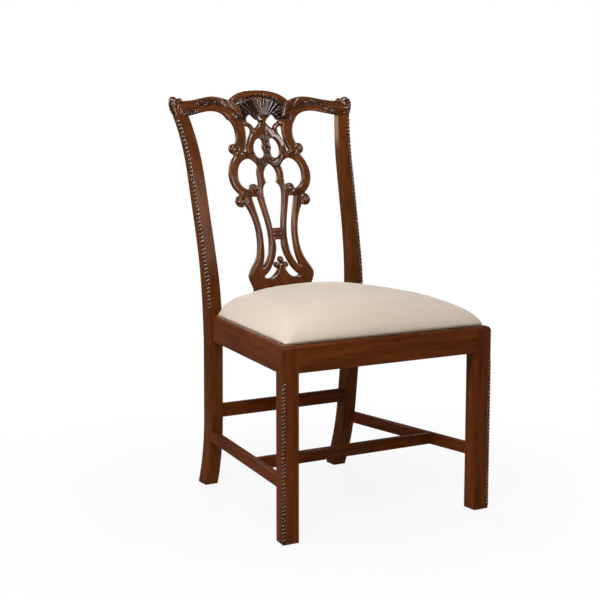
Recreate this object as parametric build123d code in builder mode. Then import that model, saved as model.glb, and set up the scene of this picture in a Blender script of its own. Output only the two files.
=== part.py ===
from build123d import *
import math
import os

# A dining side chair: square front legs, raked back posts, a pierced splat under a bowed crest rail,
# plain stretchers and an upholstered drop-in seat. Millimetres, +Z up, the front faces -Y, and the
# origin is on the floor under the middle of the chair. "left" and "right" are as seen from the front.

# Seat frame
FRONT_WIDTH = 562.0  # over the front legs
REAR_WIDTH = 432.0  # over the side rails, where they meet the back posts
SEAT_DEPTH = 462.0  # front of the front legs to the front of the back posts
RAIL_TOP = 440.0
RAIL_HEIGHT = 61.0
RAIL_THICK = 22.0
REAR_RAIL_THICK = 36.0
LEG_SIZE = 40.0
MOULD_HEIGHT = 7.5  # rounded top edge of the rails
MOULD_QUIRK = 1.0  # small step below the rounded edge
LIP = 10.0  # rail left standing outside the drop-in seat
RABBET_DEPTH = 22.0

# Back posts, seen from the side: set back of the front face behind SEAT_DEPTH, at each height
FOOT_SETBACK = 58.0
KICK_HEIGHT = 180.0
KICK_SETBACK = 15.0
BEND_HEIGHT = 575.0
BEND_SETBACK = 16.3
SWEEP_HEIGHT = 740.0
SWEEP_SETBACK = 56.1
POST_TOP = 924.0
TOP_SETBACK = 113.4
FOOT_DEPTH = 40.0  # front to back
LEG_DEPTH = 37.0
BEND_DEPTH = 30.0
SWEEP_DEPTH = 26.0
TOP_DEPTH = 20.0

# Back posts, seen from the front
REAR_FOOT_WIDTH = 416.0  # over the back feet
POST_WIDTH = 34.0
POST_LEAN = 0.0325  # outward lean, per millimetre of height
FLARE_HEIGHT = 790.0  # the posts flare out above this
FLARE = 13.0

# Bead let into the outer front edge of the legs and posts
BEAD_SIZE = 5.0
LEG_BEAD_LOW = 8.0
LEG_BEAD_HIGH = 359.0
POST_BEAD_LOW = 458.0
POST_BEAD_HIGH = 916.0

# Crest rail
CREST_HEIGHT = 63.5  # top of the dome above the post tops
CREST_THICK = 19.0  # at the post tops
CREST_EDGE_THICK = 11.0  # at the top of the dome
CREST_BOW = 20.0  # how far the middle stands behind the posts
CREST_DROP = 12.0  # the middle hangs this far below the post tops

# Splat and shoe
SPLAT_WIDTH = 235.0  # over the rings
SPLAT_THICK = 12.0
SHOE_HEIGHT = 46.0
SHOE_WIDTH = 216.0
SHOE_TOP_WIDTH = 168.0
SHOE_PLINTH = 11.0  # upright foot of the shoe, below its hollow sides
SHOE_LAP = 4.0  # the shoe's top stands this far before the splat
SHOE_SETBACK = 4.0

# Stretchers
STRETCHER_BOTTOM = 122.0
STRETCHER_HEIGHT = 28.0
STRETCHER_THICK = 14.0
MIDDLE_STRETCHER_SET = 183.0  # front face, behind the front of the legs
REAR_STRETCHER_BOTTOM = 178.5
REAR_STRETCHER_HEIGHT = 33.5
REAR_STRETCHER_SET = 25.0  # front face, behind SEAT_DEPTH

# Tenons
TENON_THICK = 9.0
TENON_SHOULDER = 7.0  # face of a rail to the face of its tenon
TENON_LENGTH = 20.0
POST_TENON_LENGTH = 18.0
STRETCHER_TENON = 12.0
STRETCHER_TENON_THICK = 7.0
STRETCHER_SHOULDER = 4.0  # above and below a stretcher's tenon
MIDDLE_TENON = 8.0
REAR_TENON_SET = 20.5  # rear rail's front face to its tenon
CREST_TENON = 14.0  # height of the tenons that enter the crest rail
CREST_TENON_THICK = 6.0
SPLAT_TENON_BACK = 7.0  # front of the splat to the front of its upper tenons
SPLAT_TENON_WIDTH = 26.0
SPLAT_TENON_AT = 70.0  # centre of each outer tenon at the crest
SHOE_TENON = 24.0
SHOE_TENON_WIDTH = 130.0
SHOE_TENON_THICK = 6.0
FIT_GAP = 0.2  # round every tenon

# Corner blocks, bearer and screws
BLOCK_REACH = 60.0
BLOCK_HEIGHT = 34.0
BLOCK_DROP = 3.0  # below the seat's ledge
BEARER_THICK = 16.0
BEARER_HEIGHT = 22.0
BEARER_WIDTH = 240.0
SCREW_SHANK = 4.2
SCREW_HEAD = 8.0
SCREW_HEAD_HEIGHT = 3.0
SCREW_BITE = 12.0  # length held in the rail
SCREW_GRIP = 14.0  # length held in the block
SCREW_GAP = 0.1

# Drop-in seat
SEAT_GAP = 1.0  # between the covered seat and the rails
SEAT_REST = 0.3  # between the covered seat and its ledge
COVER_THICK = 1.2
COVER_RETURN = 35.0  # fabric turned under the seat frame
SEAT_FRAME_THICK = 16.0
SEAT_FRAME_WIDTH = 50.0
WEBBING_THICK = 1.5
WEBBING_WIDTH = 50.0
WEBBING_COUNT = 3
HESSIAN_THICK = 0.8
DUST_COVER_THICK = 0.5
CROWN = 80.0  # top of the cushion above the rails
SHOULDER = 62.0  # width of the cushion's rounded shoulder
WALL = 6.0  # upright part of the cushion's side
SHOULDER_SHARE = 0.8  # height of the inner end of its shoulder
DRAW_IN = 3.0  # how far the cushion's sides draw in between the corners
# Front to back place and share of the crown for each section of the cushion
CUSHION_SECTIONS = [
    (0.0, 0.17), (0.012, 0.40), (0.05, 0.66), (0.14, 0.86), (0.32, 0.97), (0.55, 1.0),
    (0.77, 0.98), (0.91, 0.84), (0.98, 0.56), (1.0, 0.24),
]

CUT = 6.0  # how far cutting shapes run past what they cut

# Worked out from the sizes above
SIDE_SLOPE = (FRONT_WIDTH - REAR_WIDTH) / 2 / SEAT_DEPTH
SIDE_COS = math.cos(math.atan(SIDE_SLOPE))
RAIL_BOTTOM = RAIL_TOP - RAIL_HEIGHT
LEDGE = RAIL_TOP - RABBET_DEPTH
LEG_INNER = FRONT_WIDTH / 2 - LEG_SIZE
SWEEP_ANGLE = math.atan2(SWEEP_SETBACK - BEND_SETBACK, SWEEP_HEIGHT - BEND_HEIGHT)
TOP_CHORD = math.atan2(TOP_SETBACK - SWEEP_SETBACK, POST_TOP - SWEEP_HEIGHT)
CREST_SLOPE = math.tan(2 * TOP_CHORD - SWEEP_ANGLE)
CREST_LOW = POST_TOP - CREST_DROP
CREST_TOP = POST_TOP + CREST_HEIGHT
OVERALL_DEPTH = SEAT_DEPTH + TOP_SETBACK + CREST_BOW + CREST_SLOPE * CREST_HEIGHT + CREST_EDGE_THICK
FRONT = -OVERALL_DEPTH / 2
SHOE_TOP = RAIL_TOP + SHOE_HEIGHT
STRETCHER_TOP = STRETCHER_BOTTOM + STRETCHER_HEIGHT
REAR_STRETCHER_TOP = REAR_STRETCHER_BOTTOM + REAR_STRETCHER_HEIGHT
SEAT_LOW = LEDGE + SEAT_REST
SEAT_FRAME_LOW = SEAT_LOW + COVER_THICK
SEAT_FRAME_TOP = SEAT_FRAME_LOW + SEAT_FRAME_THICK
CROSS_WEBBING = SEAT_FRAME_TOP + WEBBING_THICK
HESSIAN_LOW = CROSS_WEBBING + WEBBING_THICK
PAD_LOW = HESSIAN_LOW + HESSIAN_THICK
SIDES = {"left": -1, "right": 1}


def behind(distance):
    """Y of a point this far behind the front of the front legs."""
    return FRONT + distance


def rail_x(distance, inset=0.0):
    """Half width over the side rails at a distance behind the front, or to a line inset from them."""
    return FRONT_WIDTH / 2 - SIDE_SLOPE * distance - inset / SIDE_COS


def post_x(height):
    """Outer half width over the straight part of the back posts."""
    return REAR_FOOT_WIDTH / 2 + POST_LEAN * height


POST_TOP_X = post_x(POST_TOP) + FLARE
POST_TOP_MIDDLE = POST_TOP_X - POST_WIDTH / 2


def block(x_range, back_range, z_range, grow=0.0, mode=Mode.ADD):
    """Adds or cuts an upright box, given its limits across, behind the front and in height."""
    size = [abs(b - a) + 2 * grow for a, b in (x_range, back_range, z_range)]
    with Locations((sum(x_range) / 2, behind(sum(back_range) / 2), sum(z_range) / 2)):
        Box(*size, mode=mode)


def slab(points, low, high, side=1, mode=Mode.ADD):
    """Adds or cuts an upright slab, given its plan as (half width, distance behind the front)."""
    with BuildSketch(Plane.XY.offset(low)) as plan:
        Polygon(*[(side * x, behind(d)) for x, d in points], align=None)
    extrude(plan.sketch, amount=high - low, mode=mode)


def rail_strip(near, far, outer, inner):
    """Plan of a strip along a side rail, between two insets from its outer face."""
    return [
        (rail_x(near, outer), near),
        (rail_x(far, outer), far),
        (rail_x(far, inner), far),
        (rail_x(near, inner), near),
    ]


def moulded_edge(x, distance, outward):
    """Cuts the rounded top edge along the line through a point, square to the outward direction."""
    across = Plane(origin=(x, behind(distance), 0), x_dir=outward, z_dir=(outward[1], -outward[0], 0))
    low = RAIL_TOP - MOULD_HEIGHT
    toe = (-MOULD_QUIRK, low)
    crown = (-MOULD_QUIRK - MOULD_HEIGHT, RAIL_TOP)
    with BuildSketch(across) as profile:
        with BuildLine():
            TangentArc(toe, crown, tangent=(0, 1))
            Polyline(crown, (crown[0], RAIL_TOP + CUT), (CUT, RAIL_TOP + CUT), (CUT, low), toe)
        make_face()
    extrude(profile.sketch, amount=FRONT_WIDTH, both=True, mode=Mode.SUBTRACT)


def moulded_front():
    """Cuts the rounded top edge along the front of the seat frame."""
    moulded_edge(0, 0, (0, -1, 0))


def moulded_side(side):
    """Cuts the rounded top edge along one side of the seat frame."""
    moulded_edge(side * FRONT_WIDTH / 2, 0, (side * SIDE_COS, SIDE_COS * SIDE_SLOPE, 0))


def seat_well():
    """Cuts the rabbet that the drop-in seat sits in."""
    far = SEAT_DEPTH + CUT
    for side in SIDES.values():
        half = [(0, LIP), (rail_x(LIP, LIP), LIP), (rail_x(far, LIP), far), (0, far)]
        slab(half, LEDGE, RAIL_TOP + CUT, side, Mode.SUBTRACT)


def back_front_edge(shift):
    """Front of the back, seen from the side, from the rail top to the post tops."""
    start = behind(SEAT_DEPTH + shift)
    bend = (start + BEND_SETBACK, BEND_HEIGHT)
    sweep = (start + SWEEP_SETBACK, SWEEP_HEIGHT)
    top = (start + TOP_SETBACK, POST_TOP)
    TangentArc((start, RAIL_TOP), bend, tangent=(0, 1))
    Line(bend, sweep)
    TangentArc(sweep, top, tangent=(math.sin(SWEEP_ANGLE), math.cos(SWEEP_ANGLE)))
    return (start, RAIL_TOP), top


def back_strip(front_shift, back_shift):
    """Side view of a curved slab that follows the back between two shifts."""
    with BuildSketch(Plane.YZ) as strip:
        with BuildLine():
            low_front, top_front = back_front_edge(front_shift)
            low_back, top_back = back_front_edge(back_shift)
            Line(low_front, low_back)
            Line(top_front, top_back)
        make_face()
    return strip.sketch


def post_outer_edge(side, inset):
    """One edge of a back post, seen from the front, from the floor to the top."""
    foot = (side * (post_x(0) - inset), 0)
    flare = (side * (post_x(FLARE_HEIGHT) - inset), FLARE_HEIGHT)
    top = (side * (POST_TOP_X - inset), POST_TOP)
    Line(foot, flare)
    TangentArc(flare, top, tangent=(side * POST_LEAN, 1))
    return foot, top


def post_strip(side, outer, inner):
    """Front view of a back post, or of a strip along it, between two insets from its outer edge."""
    with BuildSketch(Plane.XZ) as strip:
        with BuildLine():
            outer_foot, outer_top = post_outer_edge(side, outer)
            inner_foot, inner_top = post_outer_edge(side, inner)
            Line(outer_foot, inner_foot)
            Line(outer_top, inner_top)
        make_face()
    return strip.sketch


def post_side_view():
    """A back post seen from the side: kicked back at the foot, upright at the rails, raked above."""
    face = behind(SEAT_DEPTH)
    foot = (face + FOOT_SETBACK, 0)
    kick = (face + KICK_SETBACK, KICK_HEIGHT)
    kick_back = (kick[0] + LEG_DEPTH, KICK_HEIGHT)
    rail_back = (face + LEG_DEPTH, RAIL_BOTTOM)
    seat_back = (face + LEG_DEPTH, RAIL_TOP)
    foot_back = (foot[0] + FOOT_DEPTH, 0)
    down = (KICK_SETBACK, KICK_HEIGHT - RAIL_BOTTOM)
    with BuildSketch(Plane.YZ) as view:
        with BuildLine():
            _, top = back_front_edge(0)
            Polyline((face, RAIL_TOP), (face, RAIL_BOTTOM), kick)
            TangentArc(kick, foot, tangent=down)
            Line(foot, foot_back)
            TangentArc(kick_back, foot_back, tangent=down)
            Polyline(kick_back, rail_back, seat_back)
            Spline(
                seat_back,
                (face + BEND_SETBACK + BEND_DEPTH, BEND_HEIGHT),
                (face + SWEEP_SETBACK + SWEEP_DEPTH, SWEEP_HEIGHT),
                (face + TOP_SETBACK + TOP_DEPTH, POST_TOP),
                tangents=[(0, 1), (CREST_SLOPE, 1)],
            )
            Line((face + TOP_SETBACK + TOP_DEPTH, POST_TOP), top)
        make_face()
    return view.sketch


def front_rail_tenon(side, grow=0.0, mode=Mode.ADD):
    """Tenon of the front rail in a front leg."""
    across = (side * LEG_INNER, side * (LEG_INNER + TENON_LENGTH))
    thick = (TENON_SHOULDER, TENON_SHOULDER + TENON_THICK)
    block(across, thick, (RAIL_BOTTOM + TENON_SHOULDER, LEDGE - TENON_SHOULDER), grow, mode)


def side_tenon(side, low, high, near, far, shoulder, thick, grow=0.0, mode=Mode.ADD):
    """Tenon in line with a side rail or side stretcher."""
    strip = rail_strip(near - grow, far + grow, shoulder - grow, shoulder + thick + grow)
    slab(strip, low - grow, high + grow, side, mode)


def side_rail_tenons(side, grow=0.0, mode=Mode.ADD):
    """Tenons of a side rail in its front leg and its back post."""
    low, high = RAIL_BOTTOM + TENON_SHOULDER, LEDGE - TENON_SHOULDER
    for near, far in (
        (LEG_SIZE - TENON_LENGTH, LEG_SIZE),
        (SEAT_DEPTH, SEAT_DEPTH + POST_TENON_LENGTH),
    ):
        side_tenon(side, low, high, near, far, TENON_SHOULDER, TENON_THICK, grow, mode)


def stretcher_back(height):
    """Distance behind the front of the back post's front face, at a height below the kick."""
    drop = KICK_HEIGHT - height
    line = KICK_SETBACK / (RAIL_BOTTOM - KICK_HEIGHT)
    spread = FOOT_SETBACK - KICK_SETBACK - line * KICK_HEIGHT
    return SEAT_DEPTH + KICK_SETBACK + line * drop + spread * (drop / KICK_HEIGHT) ** 2


def side_stretcher_tenons(side, grow=0.0, mode=Mode.ADD):
    """Tenons of a side stretcher in its front leg and its back post."""
    low, high = STRETCHER_BOTTOM + STRETCHER_SHOULDER, STRETCHER_TOP - STRETCHER_SHOULDER
    shoulder = (STRETCHER_THICK - STRETCHER_TENON_THICK) / 2
    far = stretcher_back(STRETCHER_BOTTOM)
    for near, end in (
        (LEG_SIZE - STRETCHER_TENON, LEG_SIZE),
        (stretcher_back(STRETCHER_TOP) - STRETCHER_TENON_THICK, far + STRETCHER_TENON),
    ):
        side_tenon(side, low, high, near, end, shoulder, STRETCHER_TENON_THICK, grow, mode)


def middle_stretcher_tenon(side, grow=0.0, mode=Mode.ADD):
    """Tenon of the middle stretcher in a side stretcher."""
    shoulder = (STRETCHER_THICK - STRETCHER_TENON_THICK) / 2
    near = MIDDLE_STRETCHER_SET + shoulder
    face = rail_x(MIDDLE_STRETCHER_SET, STRETCHER_THICK)
    across = (side * (face - MIDDLE_TENON), side * (face + MIDDLE_TENON))
    height = (STRETCHER_BOTTOM + STRETCHER_SHOULDER, STRETCHER_TOP - STRETCHER_SHOULDER)
    block(across, (near, near + STRETCHER_TENON_THICK), height, grow, mode)


def rear_tenon(side, middle, near, thick, low, high, grow=0.0, mode=Mode.ADD):
    """Tenon of the rear rail or rear stretcher in a back post."""
    face = post_x(middle) - POST_WIDTH
    across = (side * (face - TENON_SHOULDER), side * (face + TENON_LENGTH))
    block(across, (near, near + thick), (low, high), grow, mode)


def rear_rail_tenon(side, grow=0.0, mode=Mode.ADD):
    """Tenon of the rear seat rail in a back post."""
    low, high = RAIL_BOTTOM + TENON_SHOULDER, RAIL_TOP - TENON_SHOULDER
    near = SEAT_DEPTH + REAR_TENON_SET
    rear_tenon(side, RAIL_BOTTOM, near, TENON_THICK, low, high, grow, mode)


def rear_stretcher_tenon(side, grow=0.0, mode=Mode.ADD):
    """Tenon of the rear stretcher in a back post."""
    low = REAR_STRETCHER_BOTTOM + STRETCHER_SHOULDER
    high = REAR_STRETCHER_TOP - STRETCHER_SHOULDER
    near = SEAT_DEPTH + REAR_STRETCHER_SET + (STRETCHER_THICK - STRETCHER_TENON_THICK) / 2
    rear_tenon(side, REAR_STRETCHER_BOTTOM, near, STRETCHER_TENON_THICK, low, high, grow, mode)


def post_tenon(side, grow=0.0, mode=Mode.ADD):
    """Tenon of a back post in the crest rail."""
    half = (POST_WIDTH - 2 * TENON_SHOULDER) / 2
    across = (side * (POST_TOP_MIDDLE - half), side * (POST_TOP_MIDDLE + half))
    near = SEAT_DEPTH + TOP_SETBACK + TENON_THICK
    block(across, (near, near + CREST_TENON_THICK), (POST_TOP, POST_TOP + CREST_TENON), grow, mode)


def splat_tenons(grow=0.0, mode=Mode.ADD):
    """Tenons of the splat in the crest rail: one in each outer strap and one in the neck."""
    near = SEAT_DEPTH + TOP_SETBACK - CREST_SLOPE * CREST_DROP + CREST_BOW + SPLAT_TENON_BACK
    height = (CREST_LOW, CREST_LOW + CREST_TENON)
    for middle, width in (
        (-SPLAT_TENON_AT, SPLAT_TENON_WIDTH),
        (0, SPLAT_TENON_WIDTH / 2),
        (SPLAT_TENON_AT, SPLAT_TENON_WIDTH),
    ):
        across = (middle - width / 2, middle + width / 2)
        block(across, (near, near + CREST_TENON_THICK - 1), height, grow, mode)


def shoe_tenon(grow=0.0, mode=Mode.ADD):
    """Tenon of the splat in its shoe."""
    near = SEAT_DEPTH + CREST_BOW + SHOE_TENON_THICK - 1
    across = (-SHOE_TENON_WIDTH / 2, SHOE_TENON_WIDTH / 2)
    block(across, (near, near + SHOE_TENON_THICK), (SHOE_TOP - SHOE_TENON, SHOE_TOP), grow, mode)


def screw_places():
    """Start and direction of each corner-block screw: two in each block."""
    z = LEDGE - BLOCK_DROP - BLOCK_HEIGHT / 2
    front_x = LEG_INNER - BLOCK_REACH * 0.62
    side_at = LEG_SIZE + BLOCK_REACH * 0.62
    rear_x = rail_x(SEAT_DEPTH, RAIL_THICK) - BLOCK_REACH * 0.62
    rear_side_at = SEAT_DEPTH - BLOCK_REACH * 0.62
    places = []
    for side in SIDES.values():
        across = Vector(side, 0, 0)
        places += [
            (Vector(side * front_x, behind(RAIL_THICK + SCREW_GRIP), z), Vector(0, -1, 0)),
            (Vector(side * (rail_x(side_at, RAIL_THICK) - SCREW_GRIP), behind(side_at), z), across),
            (Vector(side * rear_x, behind(SEAT_DEPTH - SCREW_GRIP), z), Vector(0, 1, 0)),
            (Vector(side * (rail_x(rear_side_at, RAIL_THICK) - SCREW_GRIP), behind(rear_side_at), z), across),
        ]
    return places


def drill(counterbore=False):
    """Cuts the screw holes, and the pockets for their heads, where they pass through the piece."""
    for start, way in screw_places():
        with BuildSketch(Plane(origin=start, z_dir=way)) as hole:
            Circle(SCREW_SHANK / 2 + SCREW_GAP)
        extrude(hole.sketch, amount=SCREW_GRIP + SCREW_BITE + SCREW_GAP, mode=Mode.SUBTRACT)
        if counterbore:
            with BuildSketch(Plane(origin=start, z_dir=way)) as pocket:
                Circle(SCREW_HEAD / 2 + SCREW_GAP)
            extrude(pocket.sketch, amount=-BLOCK_REACH, mode=Mode.SUBTRACT)


def write(part, name):
    """Labels a finished piece and writes its file."""
    part.label = name
    export_step(part, f"parts/{name}.step")


os.makedirs("parts", exist_ok=True)

# Front legs: the outer face follows the side rail, so the cross-section is not quite square
for name, side in SIDES.items():
    with BuildPart() as front_leg:
        leg_plan = [
            (FRONT_WIDTH / 2, 0),
            (rail_x(LEG_SIZE), LEG_SIZE),
            (LEG_INNER, LEG_SIZE),
            (LEG_INNER, 0),
        ]
        slab(leg_plan, 0, RAIL_TOP, side)
        moulded_front()
        moulded_side(side)
        seat_well()
        front_rail_tenon(side, FIT_GAP, Mode.SUBTRACT)
        side_rail_tenons(side, FIT_GAP, Mode.SUBTRACT)
        side_stretcher_tenons(side, FIT_GAP, Mode.SUBTRACT)
        bead_corner = rail_strip(-CUT, BEAD_SIZE, -CUT, BEAD_SIZE)
        slab(bead_corner, LEG_BEAD_LOW, LEG_BEAD_HIGH, side, Mode.SUBTRACT)
    write(front_leg.part, f"{name}_front_leg")

# Back posts: sawn to the side view, then to the front view
for name, side in SIDES.items():
    with BuildPart() as bead_groove:
        extrude(back_strip(0, BEAD_SIZE), amount=FRONT_WIDTH, both=True)
        extrude(post_strip(side, 0, BEAD_SIZE), amount=OVERALL_DEPTH, both=True, mode=Mode.INTERSECT)
        limits = (0, side * FRONT_WIDTH), (0, OVERALL_DEPTH), (POST_BEAD_LOW, POST_BEAD_HIGH)
        block(*limits, mode=Mode.INTERSECT)
    with BuildPart() as back_post:
        extrude(post_side_view(), amount=FRONT_WIDTH, both=True)
        extrude(post_strip(side, 0, POST_WIDTH), amount=OVERALL_DEPTH, both=True, mode=Mode.INTERSECT)
        add(bead_groove.part, mode=Mode.SUBTRACT)
        side_rail_tenons(side, FIT_GAP, Mode.SUBTRACT)
        rear_rail_tenon(side, FIT_GAP, Mode.SUBTRACT)
        rear_stretcher_tenon(side, FIT_GAP, Mode.SUBTRACT)
        side_stretcher_tenons(side, FIT_GAP, Mode.SUBTRACT)
        post_tenon(side)
    write(back_post.part, f"{name}_back_post")

# Seat rails
with BuildPart() as front_seat_rail:
    block((-LEG_INNER, LEG_INNER), (0, RAIL_THICK), (RAIL_BOTTOM, RAIL_TOP))
    moulded_front()
    seat_well()
    drill()
    for side in SIDES.values():
        front_rail_tenon(side)
write(front_seat_rail.part, "front_seat_rail")

for name, side in SIDES.items():
    with BuildPart() as side_seat_rail:
        slab(rail_strip(LEG_SIZE, SEAT_DEPTH, 0, RAIL_THICK), RAIL_BOTTOM, RAIL_TOP, side)
        moulded_side(side)
        seat_well()
        drill()
        side_rail_tenons(side)
    write(side_seat_rail.part, f"{name}_seat_rail")

with BuildPart() as rear_seat_rail:
    with BuildSketch(Plane.XZ.offset(-behind(SEAT_DEPTH))):
        low_x, high_x = (post_x(z) - POST_WIDTH for z in (RAIL_BOTTOM, RAIL_TOP))
        Polygon(
            (-low_x, RAIL_BOTTOM), (low_x, RAIL_BOTTOM), (high_x, RAIL_TOP), (-high_x, RAIL_TOP), align=None
        )
    extrude(amount=-REAR_RAIL_THICK)
    drill()
    for side in SIDES.values():
        rear_rail_tenon(side)
write(rear_seat_rail.part, "rear_seat_rail")

with BuildPart() as rear_seat_bearer:
    block(
        (-BEARER_WIDTH / 2, BEARER_WIDTH / 2),
        (SEAT_DEPTH - BEARER_THICK, SEAT_DEPTH),
        (LEDGE - BEARER_HEIGHT, LEDGE),
    )
write(rear_seat_bearer.part, "rear_seat_bearer")

# Stretchers
for name, side in SIDES.items():
    with BuildPart() as side_stretcher:
        far = SEAT_DEPTH + KICK_SETBACK + LEG_DEPTH
        strip = rail_strip(LEG_SIZE, far, 0, STRETCHER_THICK)
        slab(strip, STRETCHER_BOTTOM, STRETCHER_TOP, side)
        extrude(post_side_view(), amount=FRONT_WIDTH, both=True, mode=Mode.SUBTRACT)
        middle_stretcher_tenon(side, FIT_GAP, Mode.SUBTRACT)
        side_stretcher_tenons(side)
    write(side_stretcher.part, f"{name}_stretcher")

with BuildPart() as middle_stretcher:
    near, far = MIDDLE_STRETCHER_SET, MIDDLE_STRETCHER_SET + STRETCHER_THICK
    for side in SIDES.values():
        half = [
            (0, near),
            (rail_x(near, STRETCHER_THICK), near),
            (rail_x(far, STRETCHER_THICK), far),
            (0, far),
        ]
        slab(half, STRETCHER_BOTTOM, STRETCHER_TOP, side)
        middle_stretcher_tenon(side)
write(middle_stretcher.part, "middle_stretcher")

with BuildPart() as rear_stretcher:
    with BuildSketch(Plane.XZ.offset(-behind(SEAT_DEPTH + REAR_STRETCHER_SET))):
        low_x, high_x = (post_x(z) - POST_WIDTH for z in (REAR_STRETCHER_BOTTOM, REAR_STRETCHER_TOP))
        Polygon(
            (-low_x, REAR_STRETCHER_BOTTOM),
            (low_x, REAR_STRETCHER_BOTTOM),
            (high_x, REAR_STRETCHER_TOP),
            (-high_x, REAR_STRETCHER_TOP),
            align=None,
        )
    extrude(amount=-STRETCHER_THICK)
    for side in SIDES.values():
        rear_stretcher_tenon(side)
write(rear_stretcher.part, "rear_stretcher")

# Splat: outline points are (half width, height above the shoe), drawn for a splat 235 wide and 426 tall
SPLAT_SPREAD = SPLAT_WIDTH / 235
SPLAT_STRETCH = (CREST_LOW - SHOE_TOP) / 426


def splat_points(points):
    """Places drawn splat points in the front view."""
    return [(x * SPLAT_SPREAD, SHOE_TOP + h * SPLAT_STRETCH) for x, h in points]


def splat_curve(*points):
    """Smooth curve through drawn splat points."""
    Spline(*splat_points(points))


def splat_line(*points):
    """Straight runs through drawn splat points."""
    Polyline(*splat_points(points))


def splat_round(x, h, radius):
    """Adds a round boss, such as a scroll end, on both halves of the splat."""
    for middle in {x, -x}:
        with Locations(splat_points([(middle, h)])[0]):
            Circle(radius * SPLAT_SPREAD)


def splat_hole(*runs):
    """Cuts a pierced opening, given as smooth runs that meet end to end, on both halves."""
    with BuildSketch() as opening:
        with BuildLine():
            for run in runs:
                if len(run) == 2:
                    splat_line(*run)
                else:
                    splat_curve(*run)
        make_face()
        mirror(about=Plane.YZ)
    add(opening.sketch, mode=Mode.SUBTRACT)


with BuildPart() as back_splat:
    extrude(back_strip(CREST_BOW, CREST_BOW + SPLAT_THICK), amount=FRONT_WIDTH, both=True)
    with BuildSketch(Plane.XZ) as splat_front:
        with BuildLine():
            hip = (81, 0), (84.5, 14), (93.5, 39), (74, 74), (60, 119), (64, 174), (80, 212)
            ring = (95, 243), (113, 266), (117.5, 287), (109, 320), (97, 336)
            strap = (87, 370), (82.5, 394), (86.5, 412), (95, 426)
            splat_line((0, 0), hip[0])
            splat_curve(*hip)
            splat_line(hip[-1], ring[0])
            splat_curve(*ring)
            splat_line(ring[-1], strap[0])
            splat_curve(*strap)
            splat_line(strap[-1], (0, 426), (0, 0))
        make_face()
        mirror(about=Plane.YZ)
        splat_round(92.5, 225, 15)
        splat_round(94, 354, 13.5)
        # Slots between the lower straps
        splat_hole(
            ((62, 235), (51.5, 194), (44, 154), (43, 119), (46, 86), (57, 55)),
            ((57, 55), (47, 67), (35, 86), (26.5, 121), (30, 171), (45, 235)),
            ((45, 235), (62, 235)),
        )
        # Opening at the foot, round the trefoil
        splat_hole(
            ((0, 127), (9.5, 127)),
            ((9.5, 127), (11, 96), (20, 74), (31, 56), (51, 38)),
            ((51, 38), (38, 32.5), (22, 40), (11, 56)),
            ((11, 56), (0, 71)),
            ((0, 71), (0, 127)),
        )
        splat_round(0, 77.5, 8)
        splat_round(12.5, 64.5, 7.5)
        # Opening above the tablet, with its cusps
        splat_hole(
            ((0, 156), (13, 156)),
            ((13, 156), (19, 194), (26, 234), (25.5, 257), (14.5, 270)),
            ((14.5, 270), (19.5, 285), (14, 305), (0, 316)),
            ((0, 316), (0, 156)),
        )
        # Rings
        splat_hole(
            ((40, 257), (37.5, 273), (38, 291), (33, 311)),
            ((33, 311), (44, 324), (57, 329.5), (80, 321), (93, 289), (86, 265), (67, 254)),
            ((67, 254), (40, 257)),
        )
        splat_round(52.5, 255, 12.5)
        # Lobes either side of the husk
        splat_hole(
            ((17, 381), (30, 374), (37.5, 354), (32, 334.5)),
            ((32, 334.5), (22, 331), (12, 334.5)),
            ((12, 334.5), (8.5, 345), (12.5, 358), (9.5, 370), (17, 381)),
        )
        # Gaps beside the upper loop
        splat_hole(
            ((54, 410), (53.5, 396), (56.5, 371), (66, 348)),
            ((66, 348), (58, 348)),
            ((58, 348), (55, 367), (45, 386), (38, 397)),
            ((38, 397), (41, 407), (54, 410)),
        )
        # Gaps under the shell, above the curled brackets
        splat_hole(
            ((12.5, 427), (10.5, 419), (18, 410), (27, 405)),
            ((27, 405), (34, 415), (46, 422)),
            ((46, 422), (47, 427)),
            ((47, 427), (12.5, 427)),
        )
        splat_round(54, 417.5, 6)
        splat_round(34, 398, 6)
    extrude(amount=OVERALL_DEPTH, both=True, mode=Mode.INTERSECT)
    shoe_tenon()
    splat_tenons()
write(back_splat.part, "back_splat")

# Shoe: hollow sides, seen from the front and from the side
with BuildPart() as splat_shoe:
    shoe_front = behind(SEAT_DEPTH + SHOE_SETBACK)
    shoe_back = behind(SEAT_DEPTH + REAR_RAIL_THICK)
    top_front = behind(SEAT_DEPTH + CREST_BOW - SHOE_LAP)
    plinth = RAIL_TOP + SHOE_PLINTH
    with BuildSketch(Plane.YZ):
        with BuildLine():
            Polyline((shoe_front, plinth), (shoe_front, RAIL_TOP), (shoe_back, RAIL_TOP), (shoe_back, SHOE_TOP))
            Line((shoe_back, SHOE_TOP), (top_front, SHOE_TOP))
            TangentArc((top_front, SHOE_TOP), (shoe_front, plinth), tangent=(0, -1))
        make_face()
    extrude(amount=SHOE_WIDTH, both=True)
    with BuildSketch(Plane.XZ):
        with BuildLine():
            Polyline((0, SHOE_TOP), (0, RAIL_TOP), (SHOE_WIDTH / 2, RAIL_TOP), (SHOE_WIDTH / 2, plinth))
            TangentArc((SHOE_TOP_WIDTH / 2, SHOE_TOP), (SHOE_WIDTH / 2, plinth), tangent=(0, -1))
            Line((SHOE_TOP_WIDTH / 2, SHOE_TOP), (0, SHOE_TOP))
        make_face()
        mirror(about=Plane.YZ)
    extrude(amount=OVERALL_DEPTH, both=True, mode=Mode.INTERSECT)
    shoe_tenon(FIT_GAP, Mode.SUBTRACT)
write(splat_shoe.part, "splat_shoe")

# Crest rail: outline points are (half width, height), drawn for post tops that reach 251 from the middle
CREST_MIDDLE = 95.0  # drawn half width of the part above the splat


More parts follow.
